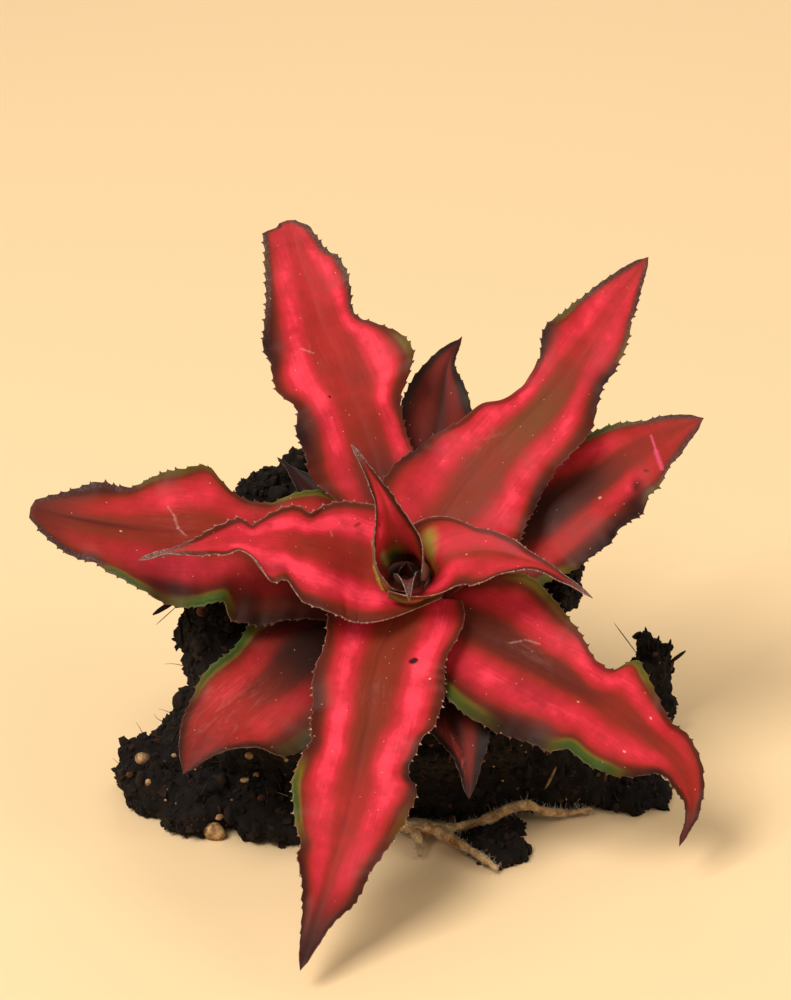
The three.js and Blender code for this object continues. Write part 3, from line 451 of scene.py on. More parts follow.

# %% [markdown]
# ## Where each leaf is pink, brown and green
# An earth star's blade has two bright stripes, one on each side of a dull
# middle band, inside darker margins. The stripes wander, so each leaf has
# rows that start with mm along. `bands` then say, as shares of the half
# width, where the left stripe ends and starts and where the right one starts
# and ends, then how bright both are and the middle's tone (-1 olive, 0 brown,
# 1 grey maroon). `warmth` says how red the middle is. `margins` say how green
# and how dark the left margin is, and then the right one. Where a margin
# folds down or lies under another leaf, that dark colour is painted shade.
# `patches` are single spots: kind, mm along, share across, half length in mm,
# half share, strength. A `dark` patch is mostly painted shade: shadows of the
# leaves above, folds turned from the light and the hollow of the cup. A few
# darken a tip and the mid-rib in the leaf's own colour. `frost` is the grey
# rim near a tip. `scurf` is how scaly the tip is, and `scurf_from` the share
# of the length where that starts. `pale_rim` is how bleached the very edge
# is. `pale_base` is how many mm of the underside grew in the dark and stayed
# bare and yellow-green.

# %% Leaf colours
LEAF_COLOURS = {
    "leaf_old_back_left": dict(
        bands=[[0, 0.6, 0.3, 0.3, 0.6, 0.1, 0.5], [40, 0.6, 0.3, 0.3, 0.6, 0.2, 0.5]],
        margins=[[0, 0.2, 0.6, 0.2, 0.6], [40, 0, 0.8, 0, 0.8]]),
    "leaf_old_front": dict(
        bands=[[0, 0.7, 0.3, 0.2, 0.7, 0.1, 0.9], [26, 0.55, 0.2, 0.2, 0.75, 0.4, 0.9],
               [34, 0.5, 0.05, 0.15, 0.7, 0.75, 0.6], [40, 0.5, 0.1, 0.1, 0.5, 0.5, 0.6],
               [46.5, 0.5, 0.1, 0.1, 0.5, 0.1, 0.8]],
        margins=[[0, 0.2, 0.9, 0.2, 0.9], [28, 0.1, 0.95, 0.1, 0.8], [46.5, 0, 1, 0, 1]],
        patches=[["dark", 22, 0, 6, 1.5, 0.7], ["dark", 46, 0, 5, 1.5, 0.6],
                 ["worn", 36, -0.4, 7, 0.4, 0.9]]),
    "leaf_lower_left": dict(
        bands=[[0, 0.6, 0.3, 0.3, 0.6, 0.1, 1], [22, 0.6, 0.35, 0.35, 0.6, 0.3, 1],
               [30, 0.62, 0.3, 0.24, 0.72, 0.55, 0.9], [38, 0.66, 0.26, 0.12, 0.74, 0.55, 0.7],
               [44, 0.7, 0.24, 0.06, 0.74, 0.52, 0.5], [50, 0.72, 0.15, 0.05, 0.72, 0.38, 0.4],
               [56, 0.6, 0.1, 0.05, 0.6, 0.45, 0.3], [62, 0.5, 0.05, 0.05, 0.5, 0.2, 0.3]],
        warmth=[[0, 0], [26, 0.05], [36, 0.25], [46, 0.4], [56, 0.3], [62, 0.1]],
        margins=[[0, 0.3, 0.9, 0.3, 0.8], [25, 0.4, 0.95, 0.7, 0.7], [32, 0.5, 0.95, 1, 0.3],
                 [38, 0.5, 0.95, 1, 0.1], [43, 0.4, 0.9, 0.75, 0.4], [48, 0.1, 0.85, 0.2, 0.7],
                 [55, 0, 0.8, 0, 0.8], [62, 0, 0.9, 0, 0.9]],
        # the dark patch at 14 mm is painted shade, the shadow of the leaves that lie over this leaf's foot
        patches=[["dark", 14, 0.1, 17, 1.6, 0.95], ["dark", 60, 0, 9, 2, 0.6],
                 ["dark", 54, 0.8, 5, 0.4, 0.5], ["worn", 45, -0.1, 9, 0.7, 0.7]]),
    "leaf_back": dict(
        bands=[[0, 0.7, 0.3, 0.3, 0.7, 0.2, 0.5], [42, 0.75, 0.15, 0.2, 0.75, 0.6, 0.2],
               [52, 0.7, 0.1, 0.12, 0.6, 0.65, 0.2], [60, 0.55, 0.1, 0.1, 0.5, 0.5, 0.3],
               [63.5, 0.5, 0.1, 0.1, 0.5, 0.1, 0.5]],
        margins=[[0, 0.4, 0.4, 0.4, 0.6], [44, 0.2, 0.4, 0.5, 0.85], [52, 0.1, 0.7, 0.4, 0.95],
                 [63.5, 0, 0.9, 0, 0.95]],
        patches=[["dark", 62, 0, 4, 1, 0.5], ["dark", 50, -0.05, 9, 0.12, 0.45]]),
    "leaf_right": dict(
        frost=0.7,
        bands=[[0, 0.7, 0.35, 0.35, 0.75, 0.4, 0.8], [28, 0.7, 0.3, 0.42, 0.8, 0.5, 1],
               [38, 0.82, 0.3, 0.42, 0.76, 0.52, 0.9], [46, 0.86, 0.25, 0.42, 0.74, 0.66, 0.9],
               [52, 0.8, 0.15, 0.4, 0.74, 0.78, 0.7], [58, 0.8, 0.2, 0.34, 0.86, 0.56, 0.4],
               [64, 0.74, 0.15, 0.25, 0.85, 0.42, 0.2], [70, 0.66, 0.1, 0.15, 0.66, 0.36, 0.1],
               [77, 0.4, 0.1, 0.1, 0.4, 0.4, 0.2]],
        warmth=[[0, 0], [45, 0], [54, 0.18], [64, 0.28], [77, 0.2]],
        margins=[[0, 0.5, 0.3, 0.6, 0.3], [28, 0.6, 0.2, 0.6, 0.6], [34, 0.8, 0.1, 0.2, 0.9],
                 [44, 0.9, 0.1, 0.2, 1], [52, 1, 0.15, 0.2, 1], [57, 0.9, 0.4, 0.6, 0.6],
                 [62, 0.5, 0.7, 0.3, 0.7], [67, 0.1, 0.85, 0.1, 0.8], [72, 0, 0.9, 0, 0.8],
                 [77, 0, 0.9, 0, 0.9]],
        patches=[["dark", 36, 0.05, 9, 0.4, 0.6], ["dark", 51, -0.85, 4, 0.22, 0.9],
                 ["dark", 54, -0.7, 2, 0.12, 0.9]]),
    "leaf_lower_right": dict(
        bands=[[0, 0.72, 0.45, 0.3, 0.7, 0.4, 0.9], [12, 0.76, 0.42, 0.24, 0.72, 0.7, 0.5],
               [20, 0.78, 0.38, 0.2, 0.72, 0.82, 0.6], [30, 0.78, 0.34, 0.2, 0.7, 0.84, 0.6],
               [38, 0.95, 0.42, 0.2, 0.66, 0.84, 0.7], [44, 1, 0.3, 0.2, 0.68, 0.86, 0.7],
               [50, 0.76, 0.32, 0.24, 0.72, 0.82, 0.2], [58, 0.8, 0.32, 0.2, 0.7, 0.8, 0.3],
               [64, 0.95, 0.36, 0.18, 0.74, 0.74, 0.2], [70, 0.8, 0.2, 0.16, 0.75, 0.5, 0.1],
               [76, 0.7, 0.1, 0.1, 0.65, 0.38, 0.1], [80, 0.5, 0.1, 0.1, 0.5, 0.25, 0.1],
               [88.5, 0.4, 0.1, 0.1, 0.4, 0.1, 0.1]],
        warmth=[[0, 0], [20, 0.08], [38, 0.1], [50, 0.2], [58, 0.22], [66, 0.32], [76, 0.3], [88.5, 0.1]],
        margins=[[0, 0.1, 0.5, 0.5, 0.2], [12, 0.2, 0.3, 0.8, 0.2], [18, 0.5, 0.15, 0.85, 0.3],
                 [26, 0.4, 0.3, 0.7, 0.8], [32, 0.3, 0.3, 0.3, 1], [40, 0.1, 0.3, 0.4, 0.95],
                 [45, 0.5, 0.2, 0.9, 0.5], [50, 0.7, 0.2, 1, 0.3], [56, 0.3, 0.5, 0.9, 0.5],
                 [62, 0.1, 0.6, 0.2, 0.9], [68, 0.3, 0.6, 0.1, 0.8], [75, 0, 0.8, 0.1, 0.8],
                 [88.5, 0, 0.9, 0, 0.9]],
        patches=[["dark", 86, 0, 8, 2, 0.7], ["dark", 3, 0.2, 7, 1.5, 0.45],
                 ["dark", 20, -0.85, 10, 0.3, 0.5], ["dark", 32, -0.36, 7, 0.2, 0.35],
                 ["dark", 22, 0.02, 18, 0.22, 0.4], ["dark", 32, -0.92, 8, 0.22, 1.05],
                 ["worn", 28, 0.15, 8, 0.2, 0.4]]),
    "leaf_left": dict(
        frost=0.75,
        bands=[[0, 0.7, 0.3, 0.3, 0.7, 0.5, 0.5], [20, 0.62, 0.3, 0.4, 0.85, 0.55, 0.5],
               [35, 0.7, 0.28, 0.4, 0.85, 0.6, 0.3], [42, 0.74, 0.26, 0.36, 0.9, 0.7, 0.1],
               [50, 0.78, 0.26, 0.34, 0.82, 0.8, 0.1], [57, 0.8, 0.25, 0.3, 0.8, 0.7, 0.1],
               [63, 0.78, 0.3, 0.25, 0.76, 0.56, 0.1], [70, 0.8, 0.3, 0.15, 0.6, 0.4, 0.1],
               [77, 0.7, 0.2, 0.1, 0.6, 0.24, 0.1], [84, 0.6, 0.1, 0.1, 0.5, 0.1, 0.2]],
        warmth=[[0, 0.05], [44, 0.2], [58, 0.22], [66, 0.1], [76, 0.06], [84, 0]],
        # the left margin's dark colour from 16 to 33 mm is painted shade, the shadow of the inner leaf above
        # it
        margins=[[0, 0, 0.8, 0.3, 0.4], [8, 0, 0.8, 0.5, 0.3], [16, 0.15, 0.95, 0.7, 0.1],
                 [25, 0.25, 1, 0.75, 0.1], [33, 0.3, 1, 0.2, 0.2], [38, 0.95, 0.3, 0.2, 0.5],
                 [43, 1, 0.1, 0.5, 0.6], [48, 0.8, 0.5, 0.55, 0.6], [53, 0.5, 0.9, 0.5, 0.6],
                 [58, 0.95, 0.4, 0.5, 0.6], [62, 0.95, 0.5, 0.2, 0.7], [66, 0.1, 0.95, 0.1, 0.9],
                 [72, 0, 1, 0.1, 0.95], [84, 0, 0.9, 0, 0.9]],
        # the dark patch at 31 mm is painted shade where the margin folds down, away from the light
        patches=[["dark", 14, 0.4, 15, 0.8, 0.8], ["dark", 31, 0.85, 6, 0.35, 0.9],
                 ["dark", 68, 0, 16, 0.09, 0.65], ["dark", 84, 0, 12, 2, 0.6],
                 ["dark", 54, 0.6, 12, 0.35, 0.5], ["dark", 50.5, 0.8, 9, 0.16, 1.05],
                 ["dark", 55, 0.62, 9, 0.22, 0.5], ["dark", 68, 0.5, 9, 0.35, 0.25],
                 ["worn", 50, -0.3, 5, 0.4, 0.4]]),
    "leaf_front": dict(
        pale_rim=0.55,
        bands=[[0, 0.88, 0.4, 0.28, 0.82, 0.8, 0.2], [8, 0.9, 0.44, 0.3, 0.84, 0.95, 0.2],
               [18, 0.88, 0.43, 0.3, 0.8, 0.97, 0.1], [30, 0.85, 0.38, 0.28, 0.73, 0.95, 0.1],
               [40, 0.9, 0.34, 0.3, 0.76, 1, 0.2], [47, 0.84, 0.3, 0.28, 0.76, 0.96, 0.1],
               [55, 0.74, 0.28, 0.2, 0.76, 0.84, 0], [65, 0.74, 0.2, 0.12, 0.72, 0.78, 0],
               [75, 0.7, 0.15, 0.1, 0.62, 0.62, 0], [82, 0.6, 0.1, 0.1, 0.6, 0.25, 0.1],
               [92.9, 0.5, 0.1, 0.1, 0.5, 0.1, 0.2]],
        warmth=[[0, 0.05], [15, 0.08], [40, 0.06], [50, 0.34], [66, 0.4], [76, 0.3], [82, 0.1], [92.9, 0]],
        margins=[[0, 0, 0.3, 0, 0.2], [14, 0.1, 0.4, 0, 0.1], [20, 0.1, 0.6, 0, 0.4], [28, 0.1, 0.6, 0, 0.7],
                 [38, 0.1, 0.6, 0, 0.6], [43, 0, 0.9, 0.1, 0.6], [47, 0.2, 0.9, 0.4, 0.4],
                 [52, 0.3, 0.6, 0.8, 0.2], [58, 0.35, 0.5, 0.85, 0.2], [63, 0.2, 0.6, 0.4, 0.5],
                 [70, 0, 0.8, 0.1, 0.8], [80, 0, 0.9, 0, 0.9], [92.9, 0, 1, 0, 1]],
        patches=[["dark", 90, 0, 14, 2, 1], ["dark", 60, 0.02, 22, 0.05, 0.3],
                 ["worn", 28, 0.05, 6, 0.3, 0.35]]),
    "leaf_upper_left": dict(
        frost=0.8, scurf=0.1, pale_rim=0.25,
        bands=[[0, 0.7, 0.35, 0.4, 0.9, 0.5, 0.6], [25, 0.75, 0.33, 0.5, 1, 0.7, 0.3],
               [33, 0.7, 0.33, 0.5, 0.95, 0.8, 0.3], [42, 0.68, 0.26, 0.44, 0.76, 0.88, 0.2],
               [48, 0.8, 0.3, 0.4, 0.8, 0.94, 0], [55, 0.84, 0.33, 0.38, 0.8, 0.96, 0],
               [60, 0.74, 0.32, 0.46, 0.86, 0.92, 0], [66, 0.7, 0.26, 0.58, 0.94, 0.88, 0],
               [74, 0.75, 0.2, 0.4, 0.86, 0.84, 0], [82, 0.78, 0.14, 0.25, 0.84, 0.8, 0],
               [87, 0.8, 0.1, 0.15, 0.84, 0.74, 0.1], [91.7, 0.7, 0.05, 0.1, 0.7, 0.6, 0.1]],
        warmth=[[0, 0.1], [30, 0.2], [44, 0.35], [60, 0.42], [75, 0.55], [91.7, 0.62]],
        margins=[[0, 0.2, 0.3, 0.3, 0.2], [22, 0, 0.4, 0.2, 0.2], [32, 0, 0.6, 0.1, 0.4],
                 [38, 0, 1, 0.1, 0.5], [44, 0, 0.9, 0.2, 0.5], [48, 0.1, 0.5, 0.3, 0.5],
                 [53, 0.1, 0.5, 0.5, 0.3], [58, 0, 0.9, 0.2, 0.5], [63, 0, 1, 0.2, 0.6],
                 [66, 0.1, 0.9, 0.1, 0.95], [72, 0, 0.85, 0.3, 0.8], [77, 0.1, 0.85, 0.35, 0.7],
                 [82, 0.45, 0.7, 0.2, 0.8], [91.7, 0, 0.8, 0, 0.8]],
        patches=[["dark", 41, 0.95, 5, 0.35, 0.8], ["dark", 62, 1, 3, 0.3, 0.8],
                 ["dark", 24, -0.15, 8, 0.5, 0.5], ["worn", 57, 0.3, 3.5, 0.3, 0.5]]),
    "leaf_upper_right": dict(
        frost=0.6, scurf=0.1, pale_rim=0.35,
        bands=[[0, 0.8, 0.2, 0.3, 0.8, 0.4, 0], [14, 0.85, 0.2, 0.35, 0.8, 0.66, 0],
               [22, 0.85, 0.24, 0.42, 0.9, 0.8, -0.1], [30, 0.9, 0.3, 0.45, 0.86, 0.84, -0.2],
               [38, 0.95, 0.32, 0.42, 0.82, 0.84, -0.5], [45, 1, 0.36, 0.42, 0.82, 0.84, -0.8],
               [52, 1.05, 0.42, 0.44, 0.78, 0.84, -0.7], [58, 0.96, 0.42, 0.42, 0.74, 0.74, -0.3],
               [63, 0.76, 0.3, 0.3, 0.78, 0.74, -0.1], [70, 0.78, 0.15, 0.16, 0.82, 0.78, 0],
               [80, 0.8, 0.1, 0.1, 0.8, 0.78, 0], [88, 0.7, 0.08, 0.08, 0.7, 0.66, 0],
               [95.5, 0.5, 0.05, 0.05, 0.5, 0.4, 0.2]],
        warmth=[[0, 0], [18, 0.1], [34, 0.15], [50, 0.05], [60, 0.2], [68, 0.45], [85, 0.55], [95.5, 0.3]],
        margins=[[0, 0.2, 0.5, 0.1, 0.3], [20, 0.1, 0.6, 0, 0.3], [25, 0.1, 0.9, 0, 0.5],
                 [30, 0.1, 0.4, 0, 0.95], [35, 0.1, 0.3, 0, 0.9], [40, 0.1, 0.3, 0.1, 0.4],
                 [46, 0.2, 0.2, 0.1, 0.4], [52, 0, 0.3, 0, 0.6], [58, 0.1, 0.6, 0.1, 0.9],
                 [62, 0, 0.95, 0, 1], [66, 0.1, 0.95, 0.1, 0.9], [69, 0.4, 0.7, 0.4, 0.4],
                 [72, 0.75, 0.5, 0.4, 0.5], [77, 0.4, 0.8, 0.3, 0.6], [84, 0, 0.9, 0.1, 0.8],
                 [95.5, 0, 0.9, 0, 0.9]],
        patches=[["dark", 62, -1, 5.5, 0.34, 0.85], ["dark", 65.5, 0.9, 3, 0.25, 0.6],
                 ["dark", 26, 1, 4, 0.3, 0.6], ["worn", 36, 0.2, 4, 0.3, 0.7]]),
    "leaf_inner_left": dict(
        scurf=1.0, pale_rim=0.9,
        bands=[[0, 0.6, 0.3, 0.3, 0.6, 0, 0.2], [6, 0.65, 0.3, 0.3, 0.6, 0.5, 0],
               [12, 0.7, 0.26, 0.35, 0.85, 0.94, -0.1], [20, 0.74, 0.24, 0.36, 0.86, 0.98, -0.5],
               [28, 0.76, 0.22, 0.36, 0.86, 0.98, -0.8], [35, 0.78, 0.22, 0.34, 0.84, 1, -0.7],
               [40, 0.8, 0.2, 0.3, 0.82, 0.98, -0.2], [45, 0.85, 0.05, 0.1, 0.9, 0.96, 0],
               [52, 0.85, 0.02, 0.05, 0.8, 0.84, 0], [60, 0.7, 0.02, 0.02, 0.65, 0.6, 0.1],
               [72.6, 0.4, 0, 0, 0.4, 0.3, 0.2]],
        warmth=[[0, 0], [10, 0.2], [25, 0.36], [38, 0.4], [45, 0.7], [56, 0.6], [72.6, 0.2]],
        margins=[[0, 0.5, 0.6, 0.5, 0.6], [8, 0.2, 0.1, 0.5, 0.2], [14, 0.1, 0.1, 0.2, 0.1],
                 [19, 0.1, 0.3, 0.1, 0.1], [24, 0.2, 0.1, 0.1, 0.1], [31, 0, 0.6, 0.1, 0.1],
                 [36, 0, 0.7, 0.1, 0.2], [40, 0.3, 0.5, 0.1, 0.3], [46, 0.1, 0.5, 0, 0.4],
                 [60, 0, 0.5, 0, 0.5], [72.6, 0, 0.8, 0, 0.8]],
        # the dark patches from 6 to 12 mm are painted shade in the hollow of the cup
        patches=[["dark", 6, -0.1, 5, 0.5, 1], ["dark", 10.5, -0.15, 2.4, 0.35, 1],
                 ["dark", 12, 0.05, 2.4, 0.22, 0.9], ["dark", 43, 0.62, 4, 0.12, 0.45]]),
    "leaf_inner_right": dict(
        scurf=0.9, pale_rim=0.9, pale_base=11,
        bands=[[0, 0.5, 0.1, 0, 0.6, 0.86, 0], [6, 0.7, 0.1, 0.05, 0.7, 0.86, -0.2],
               [10, 0.9, 0.08, 0.08, 0.65, 0.72, -0.4], [18, 0.9, 0.07, 0.12, 0.8, 0.7, -0.4],
               [24, 0.85, 0.05, 0.05, 0.8, 0.62, -0.2], [30, 0.6, 0.02, 0.02, 0.6, 0.56, 0.1],
               [42.2, 0.4, 0, 0, 0.4, 0.2, 0.3]],
        warmth=[[0, 0.3], [42, 0.3]],
        margins=[[0, 0.2, 0, 0.1, 0.4], [7, 0.1, 0, 0.1, 0.4], [9, 0.15, 0.1, 0, 0.4],
                 [20, 0.2, 0.4, 0, 0.35], [30, 0, 0.6, 0, 0.6], [42.2, 0, 0.8, 0, 0.8]]),
    "leaf_heart_tall": dict(
        scurf=0.8, pale_rim=0.7, pale_base=4,
        bands=[[0, 0.6, 0.25, 0.45, 0.9, 0.2, 0.3], [5, 0.6, 0.12, 0.3, 0.6, 0.45, 0.2],
               [12, 0.62, 0.08, 0.12, 0.6, 0.82, 0.1], [20, 0.7, 0.06, 0.1, 0.6, 0.82, 0.1],
               [26, 0.6, 0.05, 0.05, 0.6, 0.4, 0.3], [34.5, 0.3, 0, 0, 0.3, 0.1, 0.4]],
        warmth=[[0, 0.1], [8, 0.35], [20, 0.5], [34.5, 0.2]],
        margins=[[0, 0.3, 0.9, 0.3, 0.9], [12, 0.1, 0.85, 0.1, 0.9], [20, 0, 0.8, 0, 0.9],
                 [34.5, 0, 0.9, 0, 0.9]],
        # the dark patches beside the mid-rib are painted shade on the rolled blade
        patches=[["green", 3, 0, 4, 0.3, 1], ["dark", 0, -0.3, 6, 0.36, 0.95],
                 ["dark", 10, -0.4, 9, 0.25, 0.5]]),
    "leaf_heart_front": dict(
        scurf=0.9, scurf_from=0.1, pale_rim=1.0,
        bands=[[0, 0.8, 0.1, 0.1, 0.8, 0.2, 0.5], [6, 0.7, 0.1, 0.1, 0.7, 0.6, 0.5],
               [11.6, 0.3, 0, 0, 0.3, 0.4, 0.6]],
        margins=[[0, 0.1, 0.8, 0.1, 0.8], [11.6, 0, 0.7, 0, 0.7]]),
    "leaf_heart_back": dict(
        scurf=0.2, pale_rim=0.15,
        bands=[[0, 0.8, 0.1, 0.1, 0.8, 0.1, 0.3], [5.7, 0.5, 0.1, 0.1, 0.5, 0.2, 0.3]],
        margins=[[0, 0.6, 0.9, 0.6, 0.9], [5.7, 0.5, 0.8, 0.5, 0.8]]),
}
print("leaf colours:", len(LEAF_COLOURS))

# %% [markdown]
# ## Bruises, scratches and flecks
# A plant that has been handled has small marks that its pigment can't explain:
# a dead spot, scratches, a torn sliver, flecks of dust, and the yellow-green
# skin where a leaf's foot was covered. Two kinds are no marks but painted
# light and shade: `lit` is a painted pool of light on the foot of the tall
# heart leaf, and `deep` is painted shade in the hollow of the cup. Each is
# finer than the mesh, so it is a short line in the leaf's own mm, and the
# material measures how far away it is.

# %% Marks
MARK_KINDS = {  # colour, strength, how soft its border is, how ragged
    "bruise": ("#160404", 0.95, 0.5, 0.6),
    "blot": ("#4A100C", 0.65, 0.9, 1.2),
    "scratch": ("#D8A09C", 0.32, 1.2, 3.0),
    "torn": ("#D85070", 0.75, 0.8, 1.2),
    "fleck": ("#F0CDBC", 0.55, 0.8, 0.8),
    "young": ("#9A943C", 0.78, 1.4, 0.5),
    # painted light: a pool of light on a leaf's foot
    "lit": ("#A8A060", 0.6, 1.4, 0.8),
    # painted shade: the hollow of the cup
    "deep": ("#0E0903", 0.96, 1.1, 0.4),
}
MARKS = (
    # kind, leaf, then from and to, each as mm along and share across, and half width in mm
    ("bruise", "leaf_front", 16.1, 0.515, 15.2, 0.55, 0.9),
    ("fleck", "leaf_front", 20.4, 0.82, 20.7, 0.81, 0.24),
    ("scratch", "leaf_left", 51.8, -0.42, 50.3, -0.26, 0.24),
    ("scratch", "leaf_left", 50.3, -0.26, 49.4, -0.05, 0.34),
    ("scratch", "leaf_left", 49.4, -0.05, 47.6, 0.06, 0.28),
    ("fleck", "leaf_left", 62, 0.1, 62.2, 0.1, 0.22),
    ("scratch", "leaf_upper_left", 59.4, 0.46, 57.6, 0.28, 0.24),
    ("bruise", "leaf_upper_left", 46.3, 0.34, 46.6, 0.35, 0.24),
    ("torn", "leaf_right", 63.8, 0.12, 63, -0.4, 0.34),
    ("torn", "leaf_right", 63, -0.36, 62, -0.84, 0.6),
    ("blot", "leaf_right", 58.7, -0.6, 58.2, -0.56, 0.42),
    ("fleck", "leaf_right", 45.1, -0.42, 45.3, -0.42, 0.32),
    ("fleck", "leaf_lower_right", 57.5, 0.51, 57.7, 0.51, 0.24),
    ("fleck", "leaf_lower_right", 56.6, -0.52, 56.9, -0.52, 0.28),
    ("fleck", "leaf_lower_right", 42.2, -0.19, 42.4, -0.19, 0.2),
    ("scratch", "leaf_lower_right", 22.2, 0.1, 24.4, 0.22, 0.26),
    ("scratch", "leaf_lower_right", 24.8, 0.26, 28.3, 0.34, 0.26),
    ("blot", "leaf_inner_left", 23, -0.61, 22.4, -0.66, 0.34),
    ("scratch", "leaf_inner_left", 28.5, -0.42, 28, -0.33, 0.3),
    ("blot", "leaf_heart_tall", 14.6, 0.5, 14, 0.42, 0.35),
    ("fleck", "leaf_inner_right", 11.7, -0.04, 11.8, -0.04, 0.18),
    ("young", "leaf_inner_left", 18.6, -0.42, 17.4, -0.26, 0.26),
    ("young", "leaf_inner_left", 17.4, -0.26, 16.4, -0.02, 0.36),
    ("young", "leaf_inner_left", 16.4, -0.02, 14.9, 0.14, 0.42),
    ("young", "leaf_inner_left", 14.9, 0.14, 13.2, 0.28, 0.5),
    ("young", "leaf_inner_right", 6.9, 0.7, 6.4, 0.56, 1.1),
    ("young", "leaf_inner_right", 6.4, 0.56, 5.5, 0.38, 1.35),
    ("young", "leaf_inner_right", 5.5, 0.38, 3, 0.1, 1.1),
    # painted light on the foot of the tall heart leaf
    ("lit", "leaf_heart_tall", 5.6, 0.3, 2.4, 0.22, 1.1),
    # painted shade in the hollow of the cup, over the inner left leaf's foot
    ("deep", "leaf_inner_left", 4, -0.2, 12, -0.05, 3.0),
)
print("marks:", len(MARKS))

# %% [markdown]
# ## From colour rows to masks
# A painted texture would have to be unwrapped and stored as an image. Numbers
# at each point of the mesh do the same from a few rows: each mask runs from 0
# to 1 and says how pink, green, dark or scaly the skin is there. The dark mask
# holds painted shade as well as dark pigment. The material reads them as
# attributes.

# %% Masks of a leaf
WARMTH = [[0, 0.15], [50, 0.2]]  # how red the middle band is, where a leaf has no rows of its own
BAND_BLUR = 2.4  # how softly a stripe ends, mm
STRIPE_FALL, STRIPE_FLATNESS = 0.75, 2.6  # a stripe is bright in its middle only
SCURF, SCURF_FROM = 0.06, 0.78  # how scaly a tip is, and from which share of the length
FROST_RIM = (0.4, 1.5)  # mm from the margin between which the grey rim fades out
FROST_FROM = (0.55, 0.85)  # shares of the length between which it comes in
HEM = (0.55, 0.4)  # how far inside the margin a thin dark line runs, and its half width, mm


def step(low, high, value):
    """0 below low, 1 above high, and a smooth rise between them."""
    t = np.clip((value - low) / np.maximum(high - low, 1e-6), 0, 1)
    return t * t * (3 - 2 * t)


def stripes_and_margins(rows, s, f, width):
    """How pink, how much margin, how green and how dark a blade is."""
    left, reach = f >= 0, np.abs(f)
    outer = np.where(left, through(rows["bands"], s, 1), through(rows["bands"], s, 4))
    inner = np.where(left, through(rows["bands"], s, 2), through(rows["bands"], s, 3))
    blur = BAND_BLUR / np.maximum(width, 3)
    heart, half = (inner + outer) / 2, np.maximum((outer - inner) / 2, 0.05)
    pink = np.exp(-STRIPE_FALL * (np.abs(reach - heart) / (half + 0.12 * blur)) ** STRIPE_FLATNESS)
    edge = step(outer - blur * 0.2, np.minimum(outer + blur, 1), reach)
    share = (reach - outer) / np.maximum(1 - outer, 0.05)
    green, dark = (np.where(left, through(rows["margins"], s, on_left), through(rows["margins"], s, on_right))
                   for on_left, on_right in ((1, 3), (2, 4)))
    return pink, edge, green * step(0.1, 0.75, share), dark * step(-0.2, 0.9, share)


def masks(name, s, f, width, length):
    """Where the blade is pink, margin, green, dark and so on, each from 0 to 1."""
    rows = LEAF_COLOURS[name]
    reach = np.abs(f)
    pink, edge, green, dark = stripes_and_margins(rows, s, f, width)
    worn, spots = 0 * s, 0 * s
    for kind, at, across, half_length, half_share, strength in rows.get("patches", []):
        spot = strength * np.exp(-((s - at) / half_length) ** 2 - ((f - across) / half_share) ** 2)
        if kind == "green":
            edge, green, pink = np.maximum(edge, spot), np.maximum(green, spot), pink * (1 - spot)
        elif kind == "worn":
            worn = np.maximum(worn, spot)
        else:
            # a dark patch joins the dark mask: mostly painted shade, partly darker pigment
            dark, spots = np.maximum(dark, spot), np.maximum(spots, spot)

    near_tip = step(length * rows.get("scurf_from", SCURF_FROM), length, s)
    scurf = near_tip ** 1.5 + 0.7 * near_tip * reach + 0.15 * step(0.95, 1, reach)
    from_rim = np.minimum((1 - reach) * width, length - s)  # mm
    frost = rows.get("frost", 0) * (1 - step(*FROST_RIM, from_rim))
    frost = frost * step(length * FROST_FROM[0], length * FROST_FROM[1], s)
    scurf = np.maximum(rows.get("scurf", SCURF) * scurf, 0.55 * frost) * (1 - 0.8 * spots)
    hem = 0.6 * np.exp(-((from_rim - HEM[0]) / HEM[1]) ** 2)
    dark = np.maximum(np.maximum(dark, frost), hem)
    tone = through(rows["bands"], s, 6)
    warmth = through(rows.get("warmth", WARMTH), s) * (1 - edge)
    return {
        "pink": np.maximum(pink * through(rows["bands"], s, 5), warmth),
        "edge": edge,
        "green": np.clip(green, 0, 1),
        "dark": np.clip(dark, 0, 1),
        "grey": np.clip(tone, 0, 1),
        "olive": np.clip(-tone, 0, 1),
        "scurf": np.clip(scurf, 0, 1),
        "worn": np.clip(worn, 0, 1),
    }


# %% [markdown]
# ## The relief of a blade
# A real blade is never quite smooth. Slow puckers run into its margins, a
# margin folds down here and there, and the edge rises a little to each tooth.

# %% Ripples, teeth and a saw edge
RIPPLES = ((17, 0.3), (9, 0.22), (5.2, 0.14))  # wavelength and height, mm
TOOTH_SPACING = 2.3  # mm along a margin
TOOTH_LENGTH = 0.52  # a typical tooth on the broad part of a blade, mm
SAW = 0.5  # how far the margin itself rises to each tooth, mm
TOOTH_FADE, BLUNT_TOOTH_FADE = 16, 3  # mm before a pointed or a blunt tip in which teeth shrink


def ripples(s, f, seed):
    """Slow, uneven puckers of the blade, strongest at the margins, in mm."""
    draw = np.random.default_rng(seed)
    total = 0
    for wavelength, height in RIPPLES:
        start, drift = draw.uniform(0, 2 * pi, 2)
        bent = 1.4 * f + 0.6 * np.sin(s / 7 + drift)
        total = total + height * np.sin(2 * pi * s / wavelength + start + bent)
    return total * np.abs(f) ** 3


